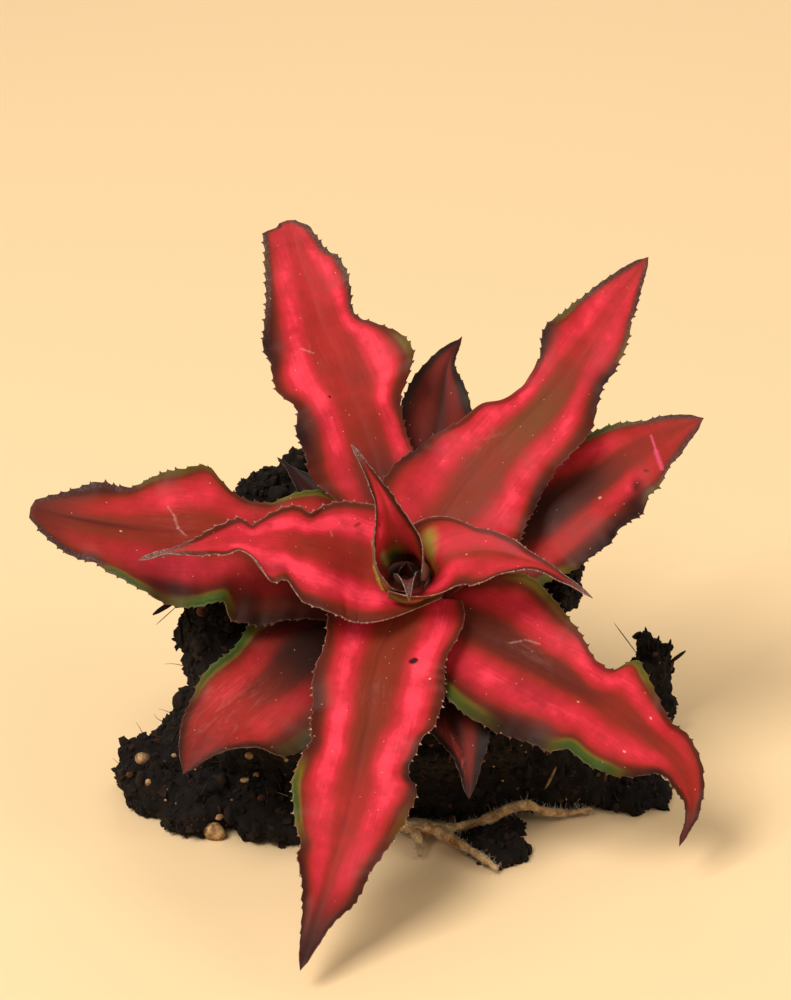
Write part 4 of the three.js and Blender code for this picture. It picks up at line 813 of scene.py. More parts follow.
def teeth_of(leaf, s, length, order):
    """How large a tooth would be at each row, from 0 to 1, and where they stand on each margin."""
    fade = BLUNT_TOOTH_FADE if "point" in leaf else TOOTH_FADE
    size = np.clip(np.minimum((s + 4) / 22, (length - s - 0.5) / fade), 0.12, 1) * min(1, length / 40)
    places = {}
    for side in (-1, 1):
        count = int((length - 2) / TOOTH_SPACING)
        uneven = np.random.default_rng(2 * order + (side > 0)).uniform(-0.24, 0.24, count)
        places[side] = TOOTH_SPACING * (np.arange(count) + 0.6 + uneven)
    for side, begin, end in leaf.get("toothless", []):
        key = 1 if side == "left" else -1
        places[key] = places[key][(places[key] < begin) | (places[key] > end)]
    return size, places


def saw(s, places):
    """Rises to 1 at each tooth and falls off just past it."""
    ahead = np.searchsorted(places, s)
    before = np.concatenate([[0], places])[ahead]
    after = np.concatenate([places, [places[-1] + TOOTH_SPACING]])[ahead]
    share = (s - before) / (after - before)
    return np.maximum(share ** 1.6, 1 - step(0, 0.22, share))


def smoothed(points, sigma, share):
    """Evens out the rows along a blade, sigma rows wide, as far as share says."""
    reach = int(3 * sigma)
    weights = np.exp(-0.5 * (np.arange(-reach, reach + 1) / sigma) ** 2)
    before, after = 2 * points[:1] - points[reach:0:-1], 2 * points[-1:] - points[-2:-reach - 2:-1]
    padded = np.concatenate([before, points, after])
    even = sum(w * padded[k:k + len(points)] for k, w in enumerate(weights / weights.sum()))
    return points + (even - points) * share[..., None]


# %% [markdown]
# ## From numbers to a leaf's mesh
# A blade could be a subdivided plane with a Solidify modifier, but then its
# thickness would be the same everywhere. Here the two faces are made straight
# from the rule: fleshy along the mid-rib, thin at the margins, with a rounded
# rim between them.

# %% The middle surface of a leaf
STATION = 0.5  # mm between rows of points along a blade
FEWEST_ROWS = 40  # on the short leaves of the heart
COLUMNS = 15  # on each side of the mid-rib
CROWDING = 1.35  # how much closer together the columns are near the margins


def laid_out(name, order):
    """A leaf's grid of s and f, its directions there, and its teeth."""
    leaf = LEAF_SHAPES[name]
    length, half_width, surface = blade_of(leaf)
    rows = round(length / min(STATION, length / FEWEST_ROWS))
    s = np.linspace(0, length, rows + 1)[:, None]
    u = np.linspace(-1, 1, 2 * COLUMNS + 1)[None, :]
    s, f = np.broadcast_arrays(s, np.sign(u) * (1 - (1 - np.abs(u)) ** CROWDING))
    across = unit(surface(s, np.minimum(f + 0.02, 1)) - surface(s, np.maximum(f - 0.02, -1)))
    along = surface(np.minimum(s + 0.1, length), f) - surface(np.maximum(s - 0.1, 0), f)
    size, places = teeth_of(leaf, s[:, 0], length, order)
    return SimpleNamespace(
        name=name, order=order, leaf=leaf, length=length, surface=surface, s=s, f=f, width=half_width(s, f),
        across=across, along=along, normal=unit(np.cross(along, across)), size=size, places=places,
        slightness=min(1.0, length / 60))


def middle_surface(blade):
    """The blade between its two faces, with ripples, folds and a saw edge."""
    leaf, s, f, length = blade.leaf, blade.s, blade.f, blade.length
    fade = np.minimum(1, np.minimum(s, length - s) / 12)
    relief = ripples(s, f, blade.order) * blade.slightness * fade
    for side, at, half_length, drop in leaf.get("folds", []):
        here = np.exp(-((s - at) / half_length) ** 2) * ((f > 0) == (side == "left"))
        relief = relief - drop * here * step(0.6, 1.05, np.abs(f))
    centre = blade.surface(s, f) + blade.normal * relief[..., None]
    for c, side in ((slice(0, COLUMNS), -1), (slice(COLUMNS + 1, None), 1)):
        rise = SAW * blade.size * saw(s[:, 0], blade.places[side])
        rise = rise[:, None] * np.abs(f[:, c]) ** 14
        centre[:, c] += blade.across[:, c] * side * rise[..., None]
    if "smooth" in leaf:
        sigma, until = leaf["smooth"]
        share = np.abs(f) ** 0.8 * (1 - step(until - 3, until + 3, s))
        centre = smoothed(centre, sigma / (length / (len(s) - 1)), share)
    return centre


# %% A closed skin round it
RIM = 0.32  # thickness at the margin, mm
RIB = 1.2  # thickness along the mid-rib, mm
GROOVE, GROOVE_HALF = 0.22, 0.9  # depth and half width of the channel over the mid-rib, mm
POINT = 2.2  # mm at the end of a blade that narrow to its point
TIP = 12  # mm at the end in which the mid-rib thins out


def skin_points(blade, centre):
    """The upper face, the lower face, then the right and the left rim, in mm."""
    leaf, f, length = blade.leaf, blade.f, blade.length
    left_over = length - blade.s
    point = np.clip(left_over / leaf.get("point", POINT), 0.004, 1) ** 0.75  # a sharp or blunt tip
    centre = centre[:, COLUMNS:COLUMNS + 1] * (1 - point[..., None]) + centre * point[..., None]
    near_tip = np.minimum(1, left_over / TIP)
    rib = RIM + (min(RIB, leaf.get("thick", RIB)) - RIM) * near_tip
    thickness = (rib + (RIM - rib) * np.abs(f) ** 1.5) * np.maximum(point, 0.25)
    groove = GROOVE * blade.slightness * near_tip * np.exp(-(f * blade.width / GROOVE_HALF) ** 2)
    top = centre + blade.normal * (thickness / 2 - groove)[..., None]
    under = centre - blade.normal * (thickness / 2)[..., None]
    rims = [centre[:, c] + blade.across[:, c] * turn * RIM * 0.45 * point[:, c, None]
            for c, turn in ((0, -1), (-1, 1))]
    return np.concatenate([top.reshape(-1, 3), under.reshape(-1, 3), *rims])


def skin_faces(n, m):
    """Faces of a closed skin with n rows and m columns of points, all turned outwards."""
    t = np.arange(n * m).reshape(n, m)  # top
    b = t + n * m  # below
    r, l = 2 * n * m + np.arange(n), 2 * n * m + n + np.arange(n)  # right and left rim
    quads = [
        np.stack([t[:-1, :-1], t[1:, :-1], t[1:, 1:], t[:-1, 1:]], -1),
        np.stack([b[:-1, :-1], b[:-1, 1:], b[1:, 1:], b[1:, :-1]], -1),
        np.stack([t[:-1, 0], r[:-1], r[1:], t[1:, 0]], -1),
        np.stack([r[:-1], b[:-1, 0], b[1:, 0], r[1:]], -1),
        np.stack([t[:-1, -1], t[1:, -1], l[1:], l[:-1]], -1),
        np.stack([l[:-1], l[1:], b[1:, -1], b[:-1, -1]], -1),
        np.stack([t[-1, :-1], b[-1, :-1], b[-1, 1:], t[-1, 1:]], -1),
        np.stack([t[0, :-1], t[0, 1:], b[0, 1:], b[0, :-1]], -1),
    ]
    corners = [(t[-1, 0], r[-1], b[-1, 0]), (t[-1, -1], b[-1, -1], l[-1]),
               (t[0, 0], b[0, 0], r[0]), (t[0, -1], l[0], b[0, -1])]
    return [tuple(q) for block in quads for q in block.reshape(-1, 4).tolist()] + corners


# %% [markdown]
# ## What each point of a leaf knows
# The masks go on both faces and the rims. The material also needs to know
# which points lie underneath or on the rim, and where each lies on the blade
# in mm, because a pattern on Object coordinates would run straight through a
# curved leaf. The tooth tree needs the size of the tooth at a rim point, the
# way outwards and the way ahead.

# %% Attributes of a leaf
LEAF_APART = 40.0  # mm between the leaves' patterns, so that no two leaves are marked alike


def skin_attributes(blade):
    """Values by point, in the order of skin_points: numbers, and vectors."""
    n, m = blade.s.shape
    rim = 2 * n * m  # the first rim point
    lower = slice(n * m, rim)
    colours = LEAF_COLOURS[blade.name]

    def everywhere(values):
        return np.concatenate([values.ravel(), values.ravel(), values[:, 0], values[:, -1]])

    numbers = {key: everywhere(value) for key, value in masks(
        blade.name, blade.s, blade.f, blade.width, blade.length).items()}
    along = everywhere(blade.s)
    for key in ("young", "under", "rim", "tooth"):
        numbers[key] = np.zeros(rim + 2 * n)
    numbers["under"][lower] = 1
    if "pale_base" in colours:  # the underside is bare where it grew in the dark
        bare = 1 - step(colours["pale_base"] * 0.5, colours["pale_base"], along[lower])
        numbers["under"][lower] -= bare
        numbers["young"][lower] = 0.25 * bare
    numbers["rim"][rim:] = colours.get("pale_rim", 0.3)
    for first, side in ((rim, -1), (rim + n, 1)):
        nearest = np.clip(np.round(blade.places[side] / blade.length * (n - 1)).astype(int), 0, n - 1)
        numbers["tooth"][first + nearest] = TOOTH_LENGTH * blade.size[nearest]

    outward, ahead = np.zeros((rim + 2 * n, 3)), np.zeros((rim + 2 * n, 3))
    turn = from_rosette(np.eye(3)) - CROWN  # rosette directions as world directions
    outward[rim:] = np.concatenate([-blade.across[:, 0], blade.across[:, -1]]) @ turn
    ahead[rim:] = np.tile(unit(blade.along[:, COLUMNS]) @ turn, (2, 1))
    apart = np.full(rim + 2 * n, LEAF_APART * blade.order)
    place = np.stack([everywhere(blade.f * blade.width), along, apart], -1)
    return numbers, {"outward": outward, "ahead": ahead, "blade_mm": place}


def leaf_skin_mesh(name, order):
    """A leaf's closed skin as an object, with its attributes."""
    blade = laid_out(name, order)
    points = skin_points(blade, middle_surface(blade))
    piece = new_object(name, from_rosette(points) * MM, skin_faces(*blade.s.shape))
    numbers, vectors = skin_attributes(blade)
    for key, value in numbers.items():
        attribute = piece.data.attributes.new(key, "FLOAT", "POINT")
        attribute.data.foreach_set("value", value.astype(np.float32))
    for key, value in vectors.items():
        attribute = piece.data.attributes.new(key, "FLOAT_VECTOR", "POINT")
        attribute.data.foreach_set("vector", value.astype(np.float32).ravel())
    return piece


# %% [markdown]
# ## The leaf's skin as a material
# Bromeliad epidermis: a waxy, slightly leathery skin that gives broad, soft
# highlights and no mirror shine. Under it, red pigment lies in long cells, so
# every colour breaks up into fine streaks along the blade. The masks choose
# between the colours, and noise stretched along the blade frays their borders.
# One long chain of nodes would be hard to follow, so the skin is painted in
# coats: each is a cover from 0 to 1 and a colour, or the node that gives it,
# and is laid over those before it.

# %% Grain of a leaf
STREAK = (0.7, 22)  # width of a pigment streak in mm, and how many times longer it is
CELL = (0.22, 40)  # the same for the finest lines that still show
BLOTCH = 6.25  # size of a cloud in the colour, mm
FRAY = 0.3  # how far streaks eat into the border of a stripe
LEAF_MASKS = ("pink", "edge", "green", "dark", "grey", "olive", "scurf", "worn", "young", "under", "rim")


def grain_of(tree):
    """What the mesh tells the material, and the noises that several coats share."""
    told = {key: add(tree, "ShaderNodeAttribute", attribute_name=key).outputs["Fac"] for key in LEAF_MASKS}
    place = add(tree, "ShaderNodeAttribute", attribute_name="blade_mm").outputs["Vector"]
    for key, (width, stretch), detail in (("streak", STREAK, 4.0), ("lines", CELL, 2.0)):
        per_mm = (1 / width, 1 / (width * stretch), 1)
        long = add(tree, "ShaderNodeMapping", {"Vector": place, "Scale": per_mm})
        told[key] = add(tree, "ShaderNodeTexNoise", {"Vector": long, "Scale": 1.0, "Detail": detail})
    told["streak"].inputs["Roughness"].default_value = 0.6
    blotch = add(tree, "ShaderNodeTexNoise", {
        "Vector": place, "Scale": 1 / BLOTCH, "Detail": 5.0, "Roughness": 0.62})
    cloud = add(tree, "ShaderNodeMath", {0: blotch, 1: 0.5}, operation="SUBTRACT")
    wander = add(tree, "ShaderNodeMath", {0: told["streak"], 1: 0.5}, operation="SUBTRACT")
    wander = add(tree, "ShaderNodeMath", {0: wander, 1: FRAY}, operation="MULTIPLY")
    uneven = add(tree, "ShaderNodeMath", {0: cloud, 1: 0.7, 2: wander}, operation="MULTIPLY_ADD")
    return SimpleNamespace(**told, place=place, blotch=blotch, cloud=cloud, uneven=uneven)


def set_stops(ramp, first, last, *between):
    """The colour stops of a ramp, each a position and a colour."""
    stops = ramp.color_ramp.elements
    for stop, (at, tint) in zip(stops, (first, last)):
        stop.position, stop.color = at, colour(tint)
    for at, tint in between:
        stops.new(at).color = colour(tint)


# %% Coats of pigment
RIB_LINE = (0.1, 0.8)  # mm from the mid-rib between which its own colour fades
YOUNG_SKIN = "#98963A"  # skin that grew in the dark


def pigment_coats(tree, grain, tints):
    """Middle band, stripes, margins, and dark patches that are mostly painted shade, as coats."""
    greyness = add(tree, "ShaderNodeMath", {0: grain.cloud, 1: grain.grey}, operation="ADD", use_clamp=True)
    across = add(tree, "ShaderNodeSeparateXYZ", {"Vector": grain.place}).outputs["X"]
    across = add(tree, "ShaderNodeMath", {0: across}, operation="ABSOLUTE")
    rib = add(tree, "ShaderNodeMapRange", {
        "Value": across, "From Min": RIB_LINE[0], "From Max": RIB_LINE[1], "To Min": 0.3, "To Max": 0.0},
        interpolation_type="SMOOTHSTEP")

    frayed = add(tree, "ShaderNodeMath", {0: grain.pink, 1: grain.uneven, 2: grain.pink},
                 operation="MULTIPLY_ADD")
    pinkness = add(tree, "ShaderNodeMapRange", {"Value": frayed, "From Min": 0.02, "From Max": 1.0})
    stripe = add(tree, "ShaderNodeValToRGB", {"Fac": pinkness})
    dim, half_lit, bright, glowing = tints["stripe"]
    set_stops(stripe, (0.05, dim), (1.0, glowing), (0.45, half_lit), (0.78, bright))
    stripe_cover = add(tree, "ShaderNodeMapRange", {"Value": pinkness, "From Min": 0.0, "From Max": 0.4})

    margin = add(tree, "ShaderNodeValToRGB", {"Fac": grain.green})  # yellow lies between brown and green
    set_stops(margin, (0.2, tints["margin"]), (0.9, tints["green"]), (0.55, tints["yellow"]))
    frayed = add(tree, "ShaderNodeMath", {0: grain.uneven, 1: 0.7, 2: grain.edge}, operation="MULTIPLY_ADD")
    margin_cover = add(tree, "ShaderNodeMapRange", {
        "Value": frayed, "From Min": 0.1, "From Max": 0.95, "To Max": 0.94})

    young = add(tree, "ShaderNodeMath", {0: grain.young, 1: grain.uneven, 2: grain.young},
                operation="MULTIPLY_ADD", use_clamp=True)
    # the dark mask laid on as near-black: dark pigment and painted shade
    darkness_and_shade = add(tree, "ShaderNodeMath", {0: grain.uneven, 1: 0.5, 2: 0.9}, operation="MULTIPLY_ADD")
    darkness_and_shade = add(tree, "ShaderNodeMath", {0: grain.dark, 1: darkness_and_shade}, operation="MULTIPLY", use_clamp=True)
    return [(greyness, tints["grey"]), (grain.olive, tints["olive"]), (rib, tints["rib"]),
            (stripe_cover, stripe), (margin_cover, margin), (young, YOUNG_SKIN), (darkness_and_shade, tints["dark"])]


def cell_tone(tree, grain):
    """Lighter and darker cells, as a factor near 1."""
    lines = add(tree, "ShaderNodeMapRange", {
        "Value": grain.lines, "From Min": 0.3, "From Max": 0.7, "To Min": 0.9, "To Max": 1.06})
    clouds = add(tree, "ShaderNodeMapRange", {
        "Value": grain.blotch, "From Min": 0.3, "From Max": 0.7, "To Min": 0.86, "To Max": 1.08})
    return add(tree, "ShaderNodeMath", {0: clouds, 1: lines}, operation="MULTIPLY")


# %% [markdown]
# ## What lies on the skin
# Tips and undersides carry scurf, tiny silvery scales that look like dust, and
# single scales dot the upper face. Rubbed places are scuffed, and the very
# edge is worn pale. Each small mark covers what lies near its own short line.

# %% Coats on the surface
SCALE = 0.45  # a scale of the scurf, mm: drawn as coarse as it needs to show
SPECK, SPECK_HALF = 2.6, (0.03, 0.06)  # spacing of single scales in mm, and their half size as a share of it
SCUFF_SLANT, SCUFF_SCALE = 0.7, (0.5, 0.14, 1)  # radians, and grains per mm
UNDER_BANDS = (0.06, 0.45, 1)  # bands per mm across and along the underside
SPECK_PALE, SCUFF_PALE, EDGE_PALE = "#F0D0C0", "#C09490", "#CDA093"


def distance_to_line(tree, place, start, end):
    """mm from a place on the skin to the line between two places."""
    line = Vector(end) - Vector(start)
    offset = add(tree, "ShaderNodeVectorMath", {0: place, 1: start}, operation="SUBTRACT")
    share = add(tree, "ShaderNodeVectorMath", {0: offset, 1: line / line.length_squared},
                operation="DOT_PRODUCT")
    share = add(tree, "ShaderNodeMath", {0: share, 1: 0.0}, operation="ADD", use_clamp=True)
    nearest = add(tree, "ShaderNodeVectorMath", {0: line, 3: share}, operation="SCALE")
    return add(tree, "ShaderNodeVectorMath", {0: offset, 1: nearest}, operation="DISTANCE")


def on_blade(name, s, f):
    """A place in the same mm as the attribute blade_mm."""
    _, half_width, _ = blade_of(LEAF_SHAPES[name])
    return (f * float(half_width(s, f)), s, LEAF_APART * (1 + list(LEAF_SHAPES).index(name)))


def mark_coats(tree, place, marks):
    """Each mark covers what lies near its line, with a ragged border."""
    ragged = add(tree, "ShaderNodeTexNoise", {"Vector": place, "Scale": 1.6, "Detail": 3.0})
    coats = []
    for kind, leaf, s0, f0, s1, f1, half in marks:
        tint, strength, softness, raggedness = MARK_KINDS[kind]
        gap = distance_to_line(tree, place, on_blade(leaf, s0, f0), on_blade(leaf, s1, f1))
        gap = add(tree, "ShaderNodeMath", {0: ragged, 1: half * raggedness, 2: gap}, operation="MULTIPLY_ADD")
        edge = half * (1 + 0.5 * raggedness)
        cover = add(tree, "ShaderNodeMapRange", {
            "Value": gap, "From Min": edge - half * softness, "From Max": edge + 0.5 * half * softness,
            "To Min": strength, "To Max": 0.0}, interpolation_type="SMOOTHSTEP")
        coats.append((cover, tint))
    return coats


def surface_coats(tree, grain, tints, marks):
    """Scurf, single scales, scuffs, marks, a worn edge and the underside, as coats."""
    flaky = add(tree, "ShaderNodeTexVoronoi", {"Vector": grain.place, "Scale": 1 / SCALE, "Randomness": 1.0})
    flaky = add(tree, "ShaderNodeMapRange", {
        "Value": flaky, "From Min": 0.1, "From Max": 0.55, "To Min": 1.0, "To Max": 0.25})
    flaky = add(tree, "ShaderNodeMath", {0: flaky, 1: grain.scurf}, operation="MULTIPLY", use_clamp=True)

    specks = add(tree, "ShaderNodeTexVoronoi", {"Vector": grain.place, "Scale": 1 / SPECK, "Randomness": 1.0})
    specks = add(tree, "ShaderNodeMapRange", {
        "Value": specks, "From Min": SPECK_HALF[0], "From Max": SPECK_HALF[1], "To Min": 0.5, "To Max": 0.0})

    scuffs = add(tree, "ShaderNodeMapping", {
        "Vector": grain.place, "Rotation": (0, 0, SCUFF_SLANT), "Scale": SCUFF_SCALE})
    scuffs = add(tree, "ShaderNodeTexNoise", {
        "Vector": scuffs, "Scale": 1.0, "Detail": 6.0, "Roughness": 0.7, "Distortion": 1.6})
    scuffs = add(tree, "ShaderNodeMapRange", {
        "Value": scuffs, "From Min": 0.5, "From Max": 0.8, "To Max": 0.5})
    scuffs = add(tree, "ShaderNodeMath", {0: scuffs, 1: grain.worn}, operation="MULTIPLY")

    broken = add(tree, "ShaderNodeTexNoise", {"Vector": grain.place, "Scale": 0.9, "Detail": 2.0})
    broken = add(tree, "ShaderNodeMapRange", {
        "Value": broken, "From Min": 0.38, "From Max": 0.62, "To Min": 0.15})
    broken = add(tree, "ShaderNodeMath", {0: broken, 1: grain.rim}, operation="MULTIPLY")

    bands = add(tree, "ShaderNodeMapping", {"Vector": grain.place, "Scale": UNDER_BANDS})
    bands = add(tree, "ShaderNodeTexNoise", {"Vector": bands, "Scale": 1.0, "Detail": 3.0})
    scaly = add(tree, "ShaderNodeMix", {
        "Factor": bands, "A": colour(tints["under"]), "B": colour(tints["under_bands"])}, data_type="RGBA")
    # the marks: blemishes, with a painted pool of light and painted cup shade among them
    marked = mark_coats(tree, grain.place, marks) if marks else []
    return [(flaky, tints["scurf"]), (specks, SPECK_PALE), (scuffs, SCUFF_PALE), *marked,
            (broken, EDGE_PALE), (grain.under, scaly)]


# %% Leaf materials
FURROWS = ((0.25, 0.12, "streak"), (0.22, 0.05, "lines"))  # strength, depth in mm, and the noise they follow


def painted(tree, skin, coats):
    """A skin with coats laid over it, one after another."""
    for cover, tint in coats:
        over = colour(tint) if isinstance(tint, str) else tint
        skin = add(tree, "ShaderNodeMix", {"Factor": cover, "A": skin, "B": over}, data_type="RGBA")
    return skin


def leaf_material(name, marks=(), **tints):
    """A waxy, streaked skin. A stripe has four tints, from its dim border to its glowing middle."""
    material, tree, shader = new_material(name)
    grain = grain_of(tree)
    skin = painted(tree, colour(tints["brown"]), pigment_coats(tree, grain, tints))
    skin = add(tree, "ShaderNodeVectorMath", {0: skin, 3: cell_tone(tree, grain)}, operation="SCALE")
    skin = painted(tree, skin, surface_coats(tree, grain, tints, marks))
    tree.links.new(skin.outputs["Result"], shader.inputs["Base Color"])

    rough = add(tree, "ShaderNodeMapRange", {
        "Value": grain.blotch, "From Min": 0.3, "From Max": 0.7, "To Min": 0.46, "To Max": 0.6})
    tree.links.new(rough.outputs["Result"], shader.inputs["Roughness"])
    bump = None
    for strength, depth, noise in FURROWS:
        below = {"Normal": bump} if bump else {}
        bump = add(tree, "ShaderNodeBump", {
            "Strength": strength, "Distance": depth * MM, "Height": getattr(grain, noise), **below})
    tree.links.new(bump.outputs["Normal"], shader.inputs["Normal"])
    for key, value in (("IOR", 1.42), ("Specular IOR Level", 0.2), ("Subsurface Weight", 0.1),
                       ("Subsurface Scale", 0.6 * MM), ("Subsurface Radius", (1.0, 0.35, 0.25))):
        shader.inputs[key].default_value = value
    return material


# Each skin's `dark` tint is what the dark mask lays on, dark pigment and painted shade alike.
red_leaf = leaf_material(  # a blade in full light: saturated, with a soft, waxy sheen
    "striped_bromeliad_leaf", marks=MARKS,
    stripe=("#882418", "#A62824", "#CA2A3A", "#F84058"),
    brown="#84301A", grey="#482018", rib="#5A1C12", olive="#72421C",
    margin="#742A1A", green="#486626", yellow="#7E6E20", dark="#150705", scurf="#94827E",
    under="#8A6A58", under_bands="#6E5246")
shaded_leaf = leaf_material(  # a blade in the shade of others: the same skin, much darker
    "shaded_bromeliad_leaf",
    stripe=("#521A0E", "#641C12", "#7C2420", "#983038"),
    brown="#4A1A0E", grey="#301410", rib="#260E0A", olive="#3E2A12",
    margin="#38180E", green="#30481E", yellow="#544C1C", dark="#120706", scurf="#7A6868",
    under="#6A5048", under_bands="#4E3C34")
# Painted shade as well: the old leaf lies in shadow, so its dull, brown skin is painted darker still.
withered_shaded_leaf = leaf_material(  # a shrivelled blade: its pigment is gone dull and brown
    "withered_bromeliad_leaf",
    stripe=("#3A1512", "#42181A", "#4A1A18", "#5A2220"),
    brown="#3C2018", grey="#2A1616", rib="#1C0E0E", olive="#2E2414",
    margin="#33211A", green="#3C3C24", yellow="#3C3422", dark="#140C0C", scurf="#5A5050",
    under="#4A3A32", under_bands="#382C26")
print("leaf materials:", [m.name for m in (red_leaf, shaded_leaf, withered_shaded_leaf)])

# %% [markdown]
# ## Teeth along the margins
# A soft, hooked tooth stands on the margin every 2 to 3 mm. They could be
# modelled in the blade's mesh, but a Geometry Nodes tree says it more plainly:
# pick the rim points that carry a tooth, and set one on each, with its axis
# outwards and its hook towards the tip of the leaf.

# %% Spine materials
def spine_material(name, light, dark):
    """Hard, horny tissue: duller than the skin, and mottled every 1.5 mm."""
    material, tree, shader = new_material(name)
    place = add(tree, "ShaderNodeTexCoord").outputs["Object"]
    mottle = add(tree, "ShaderNodeTexNoise", {"Vector": place, "Scale": 1 / (1.5 * MM), "Detail": 2.0})
    tint = add(tree, "ShaderNodeMix", {"Factor": mottle, "A": colour(light), "B": colour(dark)},
               data_type="RGBA")
    tree.links.new(tint.outputs["Result"], shader.inputs["Base Color"])
    shader.inputs["Roughness"].default_value = 0.5
    return material


brown_spine = spine_material("brown_leaf_spine", "#64382E", "#2A120C")
pale_spine = spine_material("pale_leaf_spine", "#C89C8C", "#7A4A40")

# %% Tree: teeth on a margin
TOOTH_SUNK = 0.3 * MM  # how deep a tooth's foot sits in the margin
TOOTH_TIP = 0.02 * MM
TOOTH_CHANCE = (0.35, 1.3)  # how much smaller or larger than its place gives a tooth may be
TOOTH_FLATNESS = 0.5

teeth, given = new_tree("teeth_on_a_margin", "Leaf", "Leaf", Base="Float", Hook="Float", Seed="Int",
                        Skin="Material", Spine="Material")
outward = add(teeth, "GeometryNodeInputNamedAttribute", {"Name": "outward"}, data_type="FLOAT_VECTOR")
ahead = add(teeth, "GeometryNodeInputNamedAttribute", {"Name": "ahead"}, data_type="FLOAT_VECTOR")
length = add(teeth, "GeometryNodeInputNamedAttribute", {"Name": "tooth"}, data_type="FLOAT")
has_tooth = add(teeth, "FunctionNodeCompare", {"A": length, "B": 0.01}, operation="GREATER_THAN")
spots = add(teeth, "GeometryNodeMeshToPoints", {"Mesh": given["Leaf"], "Selection": has_tooth})
cone = add(teeth, "GeometryNodeMeshCone", {
    "Vertices": 6, "Side Segments": 4, "Radius Top": TOOTH_TIP, "Radius Bottom": given["Base"], "Depth": MM})
sunk = add(teeth, "GeometryNodeTransform", {"Geometry": cone, "Translation": (0.0, 0.0, -TOOTH_SUNK)})
height = add(teeth, "ShaderNodeSeparateXYZ", {"Vector": add(teeth, "GeometryNodeInputPosition")}).outputs["Z"]
bent = add(teeth, "ShaderNodeMath", {0: height, 1: TOOTH_SUNK}, operation="ADD")
bent = add(teeth, "ShaderNodeMath", {0: bent, 1: bent}, operation="MULTIPLY")
bent = add(teeth, "ShaderNodeMath", {0: bent, 1: given["Hook"]}, operation="MULTIPLY")
bent = add(teeth, "ShaderNodeCombineXYZ", {"X": bent})
hooked = add(teeth, "GeometryNodeSetPosition", {"Geometry": sunk, "Offset": bent})
turned = add(teeth, "FunctionNodeAxesToRotation", {"Primary Axis": outward, "Secondary Axis": ahead},
             primary_axis="Z", secondary_axis="X")
vary = add(teeth, "FunctionNodeRandomValue", {
    "Min": TOOTH_CHANCE[0], "Max": TOOTH_CHANCE[1], "Seed": given["Seed"]}, data_type="FLOAT")
size = add(teeth, "ShaderNodeMath", {0: length, 1: vary}, operation="MULTIPLY")
flat = add(teeth, "ShaderNodeCombineXYZ", {"X": size, "Y": TOOTH_FLATNESS, "Z": size})
row = add(teeth, "GeometryNodeInstanceOnPoints", {
    "Points": spots, "Instance": hooked, "Rotation": turned, "Scale": flat})
row = add(teeth, "GeometryNodeRealizeInstances", {"Geometry": row})
row = add(teeth, "GeometryNodeSetMaterial", {"Geometry": row, "Material": given["Spine"]})
blade = add(teeth, "GeometryNodeSetMaterial", {"Geometry": given["Leaf"], "Material": given["Skin"]})
both = add(teeth, "GeometryNodeJoinGeometry", {"Geometry": blade})
teeth.links.new(row.outputs["Geometry"], both.inputs["Geometry"])
add(teeth, "NodeGroupOutput", {"Leaf": both})
print("tooth tree:", len(teeth.nodes), "nodes")

# %% Grow the leaves
# Leaves that lie under others get the darker copy of the skin: painted shade.
SHADED_LEAVES = ("leaf_old_front", "leaf_back", "leaf_heart_front", "leaf_heart_back")
FINE_TOOTHED = ("leaf_inner", "leaf_heart", "leaf_front")
TOOTH_BASE, FINE_TOOTH_BASE = 0.6 * MM, 0.5 * MM
TOOTH_HOOK = 0.5 / MM
BLEACHED = 0.5  # above this pale_rim, the teeth are bleached too

for order, name in enumerate(LEAF_SHAPES, 1):
    piece = leaf_skin_mesh(name, order)
    skin, slot = red_leaf, "leaf_red"
    # painted shade: these leaves take the darker, shaded skin
    if name in SHADED_LEAVES:
        skin, slot = shaded_leaf, "leaf_maroon"
    # the old leaf: withered, and painted darker for the shadow it lies in
    if name == "leaf_old_back_left":
        skin, slot = withered_shaded_leaf, "leaf_withered"
    base = FINE_TOOTH_BASE if name.startswith(FINE_TOOTHED) else TOOTH_BASE
    spine = pale_spine if LEAF_COLOURS[name].get("pale_rim", 0) > BLEACHED else brown_spine
    grown(piece, teeth, Base=base, Hook=TOOTH_HOOK, Seed=order, Skin=skin, Spine=spine)
    finish_piece(piece, replaces=[name])

# %% [markdown]
# ## Potting soil
# Damp peat with grit: nearly black, matt, and made of crumbs of every size.
# The solid's own shape gives the heap. A voxel remesh evens out its faces, and
# one tree pushes them out and in by cell patterns, which makes rounded crumbs
# with cracks between them. A second tree then scatters loose crumbs on it.

# %% Soil materials
def earthy_material(name, dark, light, grain, roughness, relief):
    """A matt, granular material: two colours in patches of grain mm, with a bump of relief mm."""
    material, tree, shader = new_material(name)
    place = add(tree, "ShaderNodeTexCoord").outputs["Object"]
    patches, fine = (
        add(tree, "ShaderNodeTexNoise", {"Vector": place, "Scale": 1 / (size * MM), "Detail": detail})
        for size, detail in ((grain, 4.0), (grain / 5, 6.0)))
    share = add(tree, "ShaderNodeMapRange", {"Value": patches, "From Min": 0.38, "From Max": 0.68})
    base = add(tree, "ShaderNodeMix", {"Factor": share, "A": colour(dark), "B": colour(light)},
               data_type="RGBA")
    tone = add(tree, "ShaderNodeMapRange", {
        "Value": fine, "From Min": 0.3, "From Max": 0.7, "To Min": 0.6, "To Max": 1.35})
    base = add(tree, "ShaderNodeVectorMath", {0: base, 3: tone}, operation="SCALE")
    tree.links.new(base.outputs[0], shader.inputs["Base Color"])
    bump = add(tree, "ShaderNodeBump", {"Strength": 0.8, "Distance": relief * MM, "Height": fine})
    tree.links.new(bump.outputs["Normal"], shader.inputs["Normal"])
    shader.inputs["Roughness"].default_value = roughness
    shader.inputs["Specular IOR Level"].default_value = 0.3
    return material


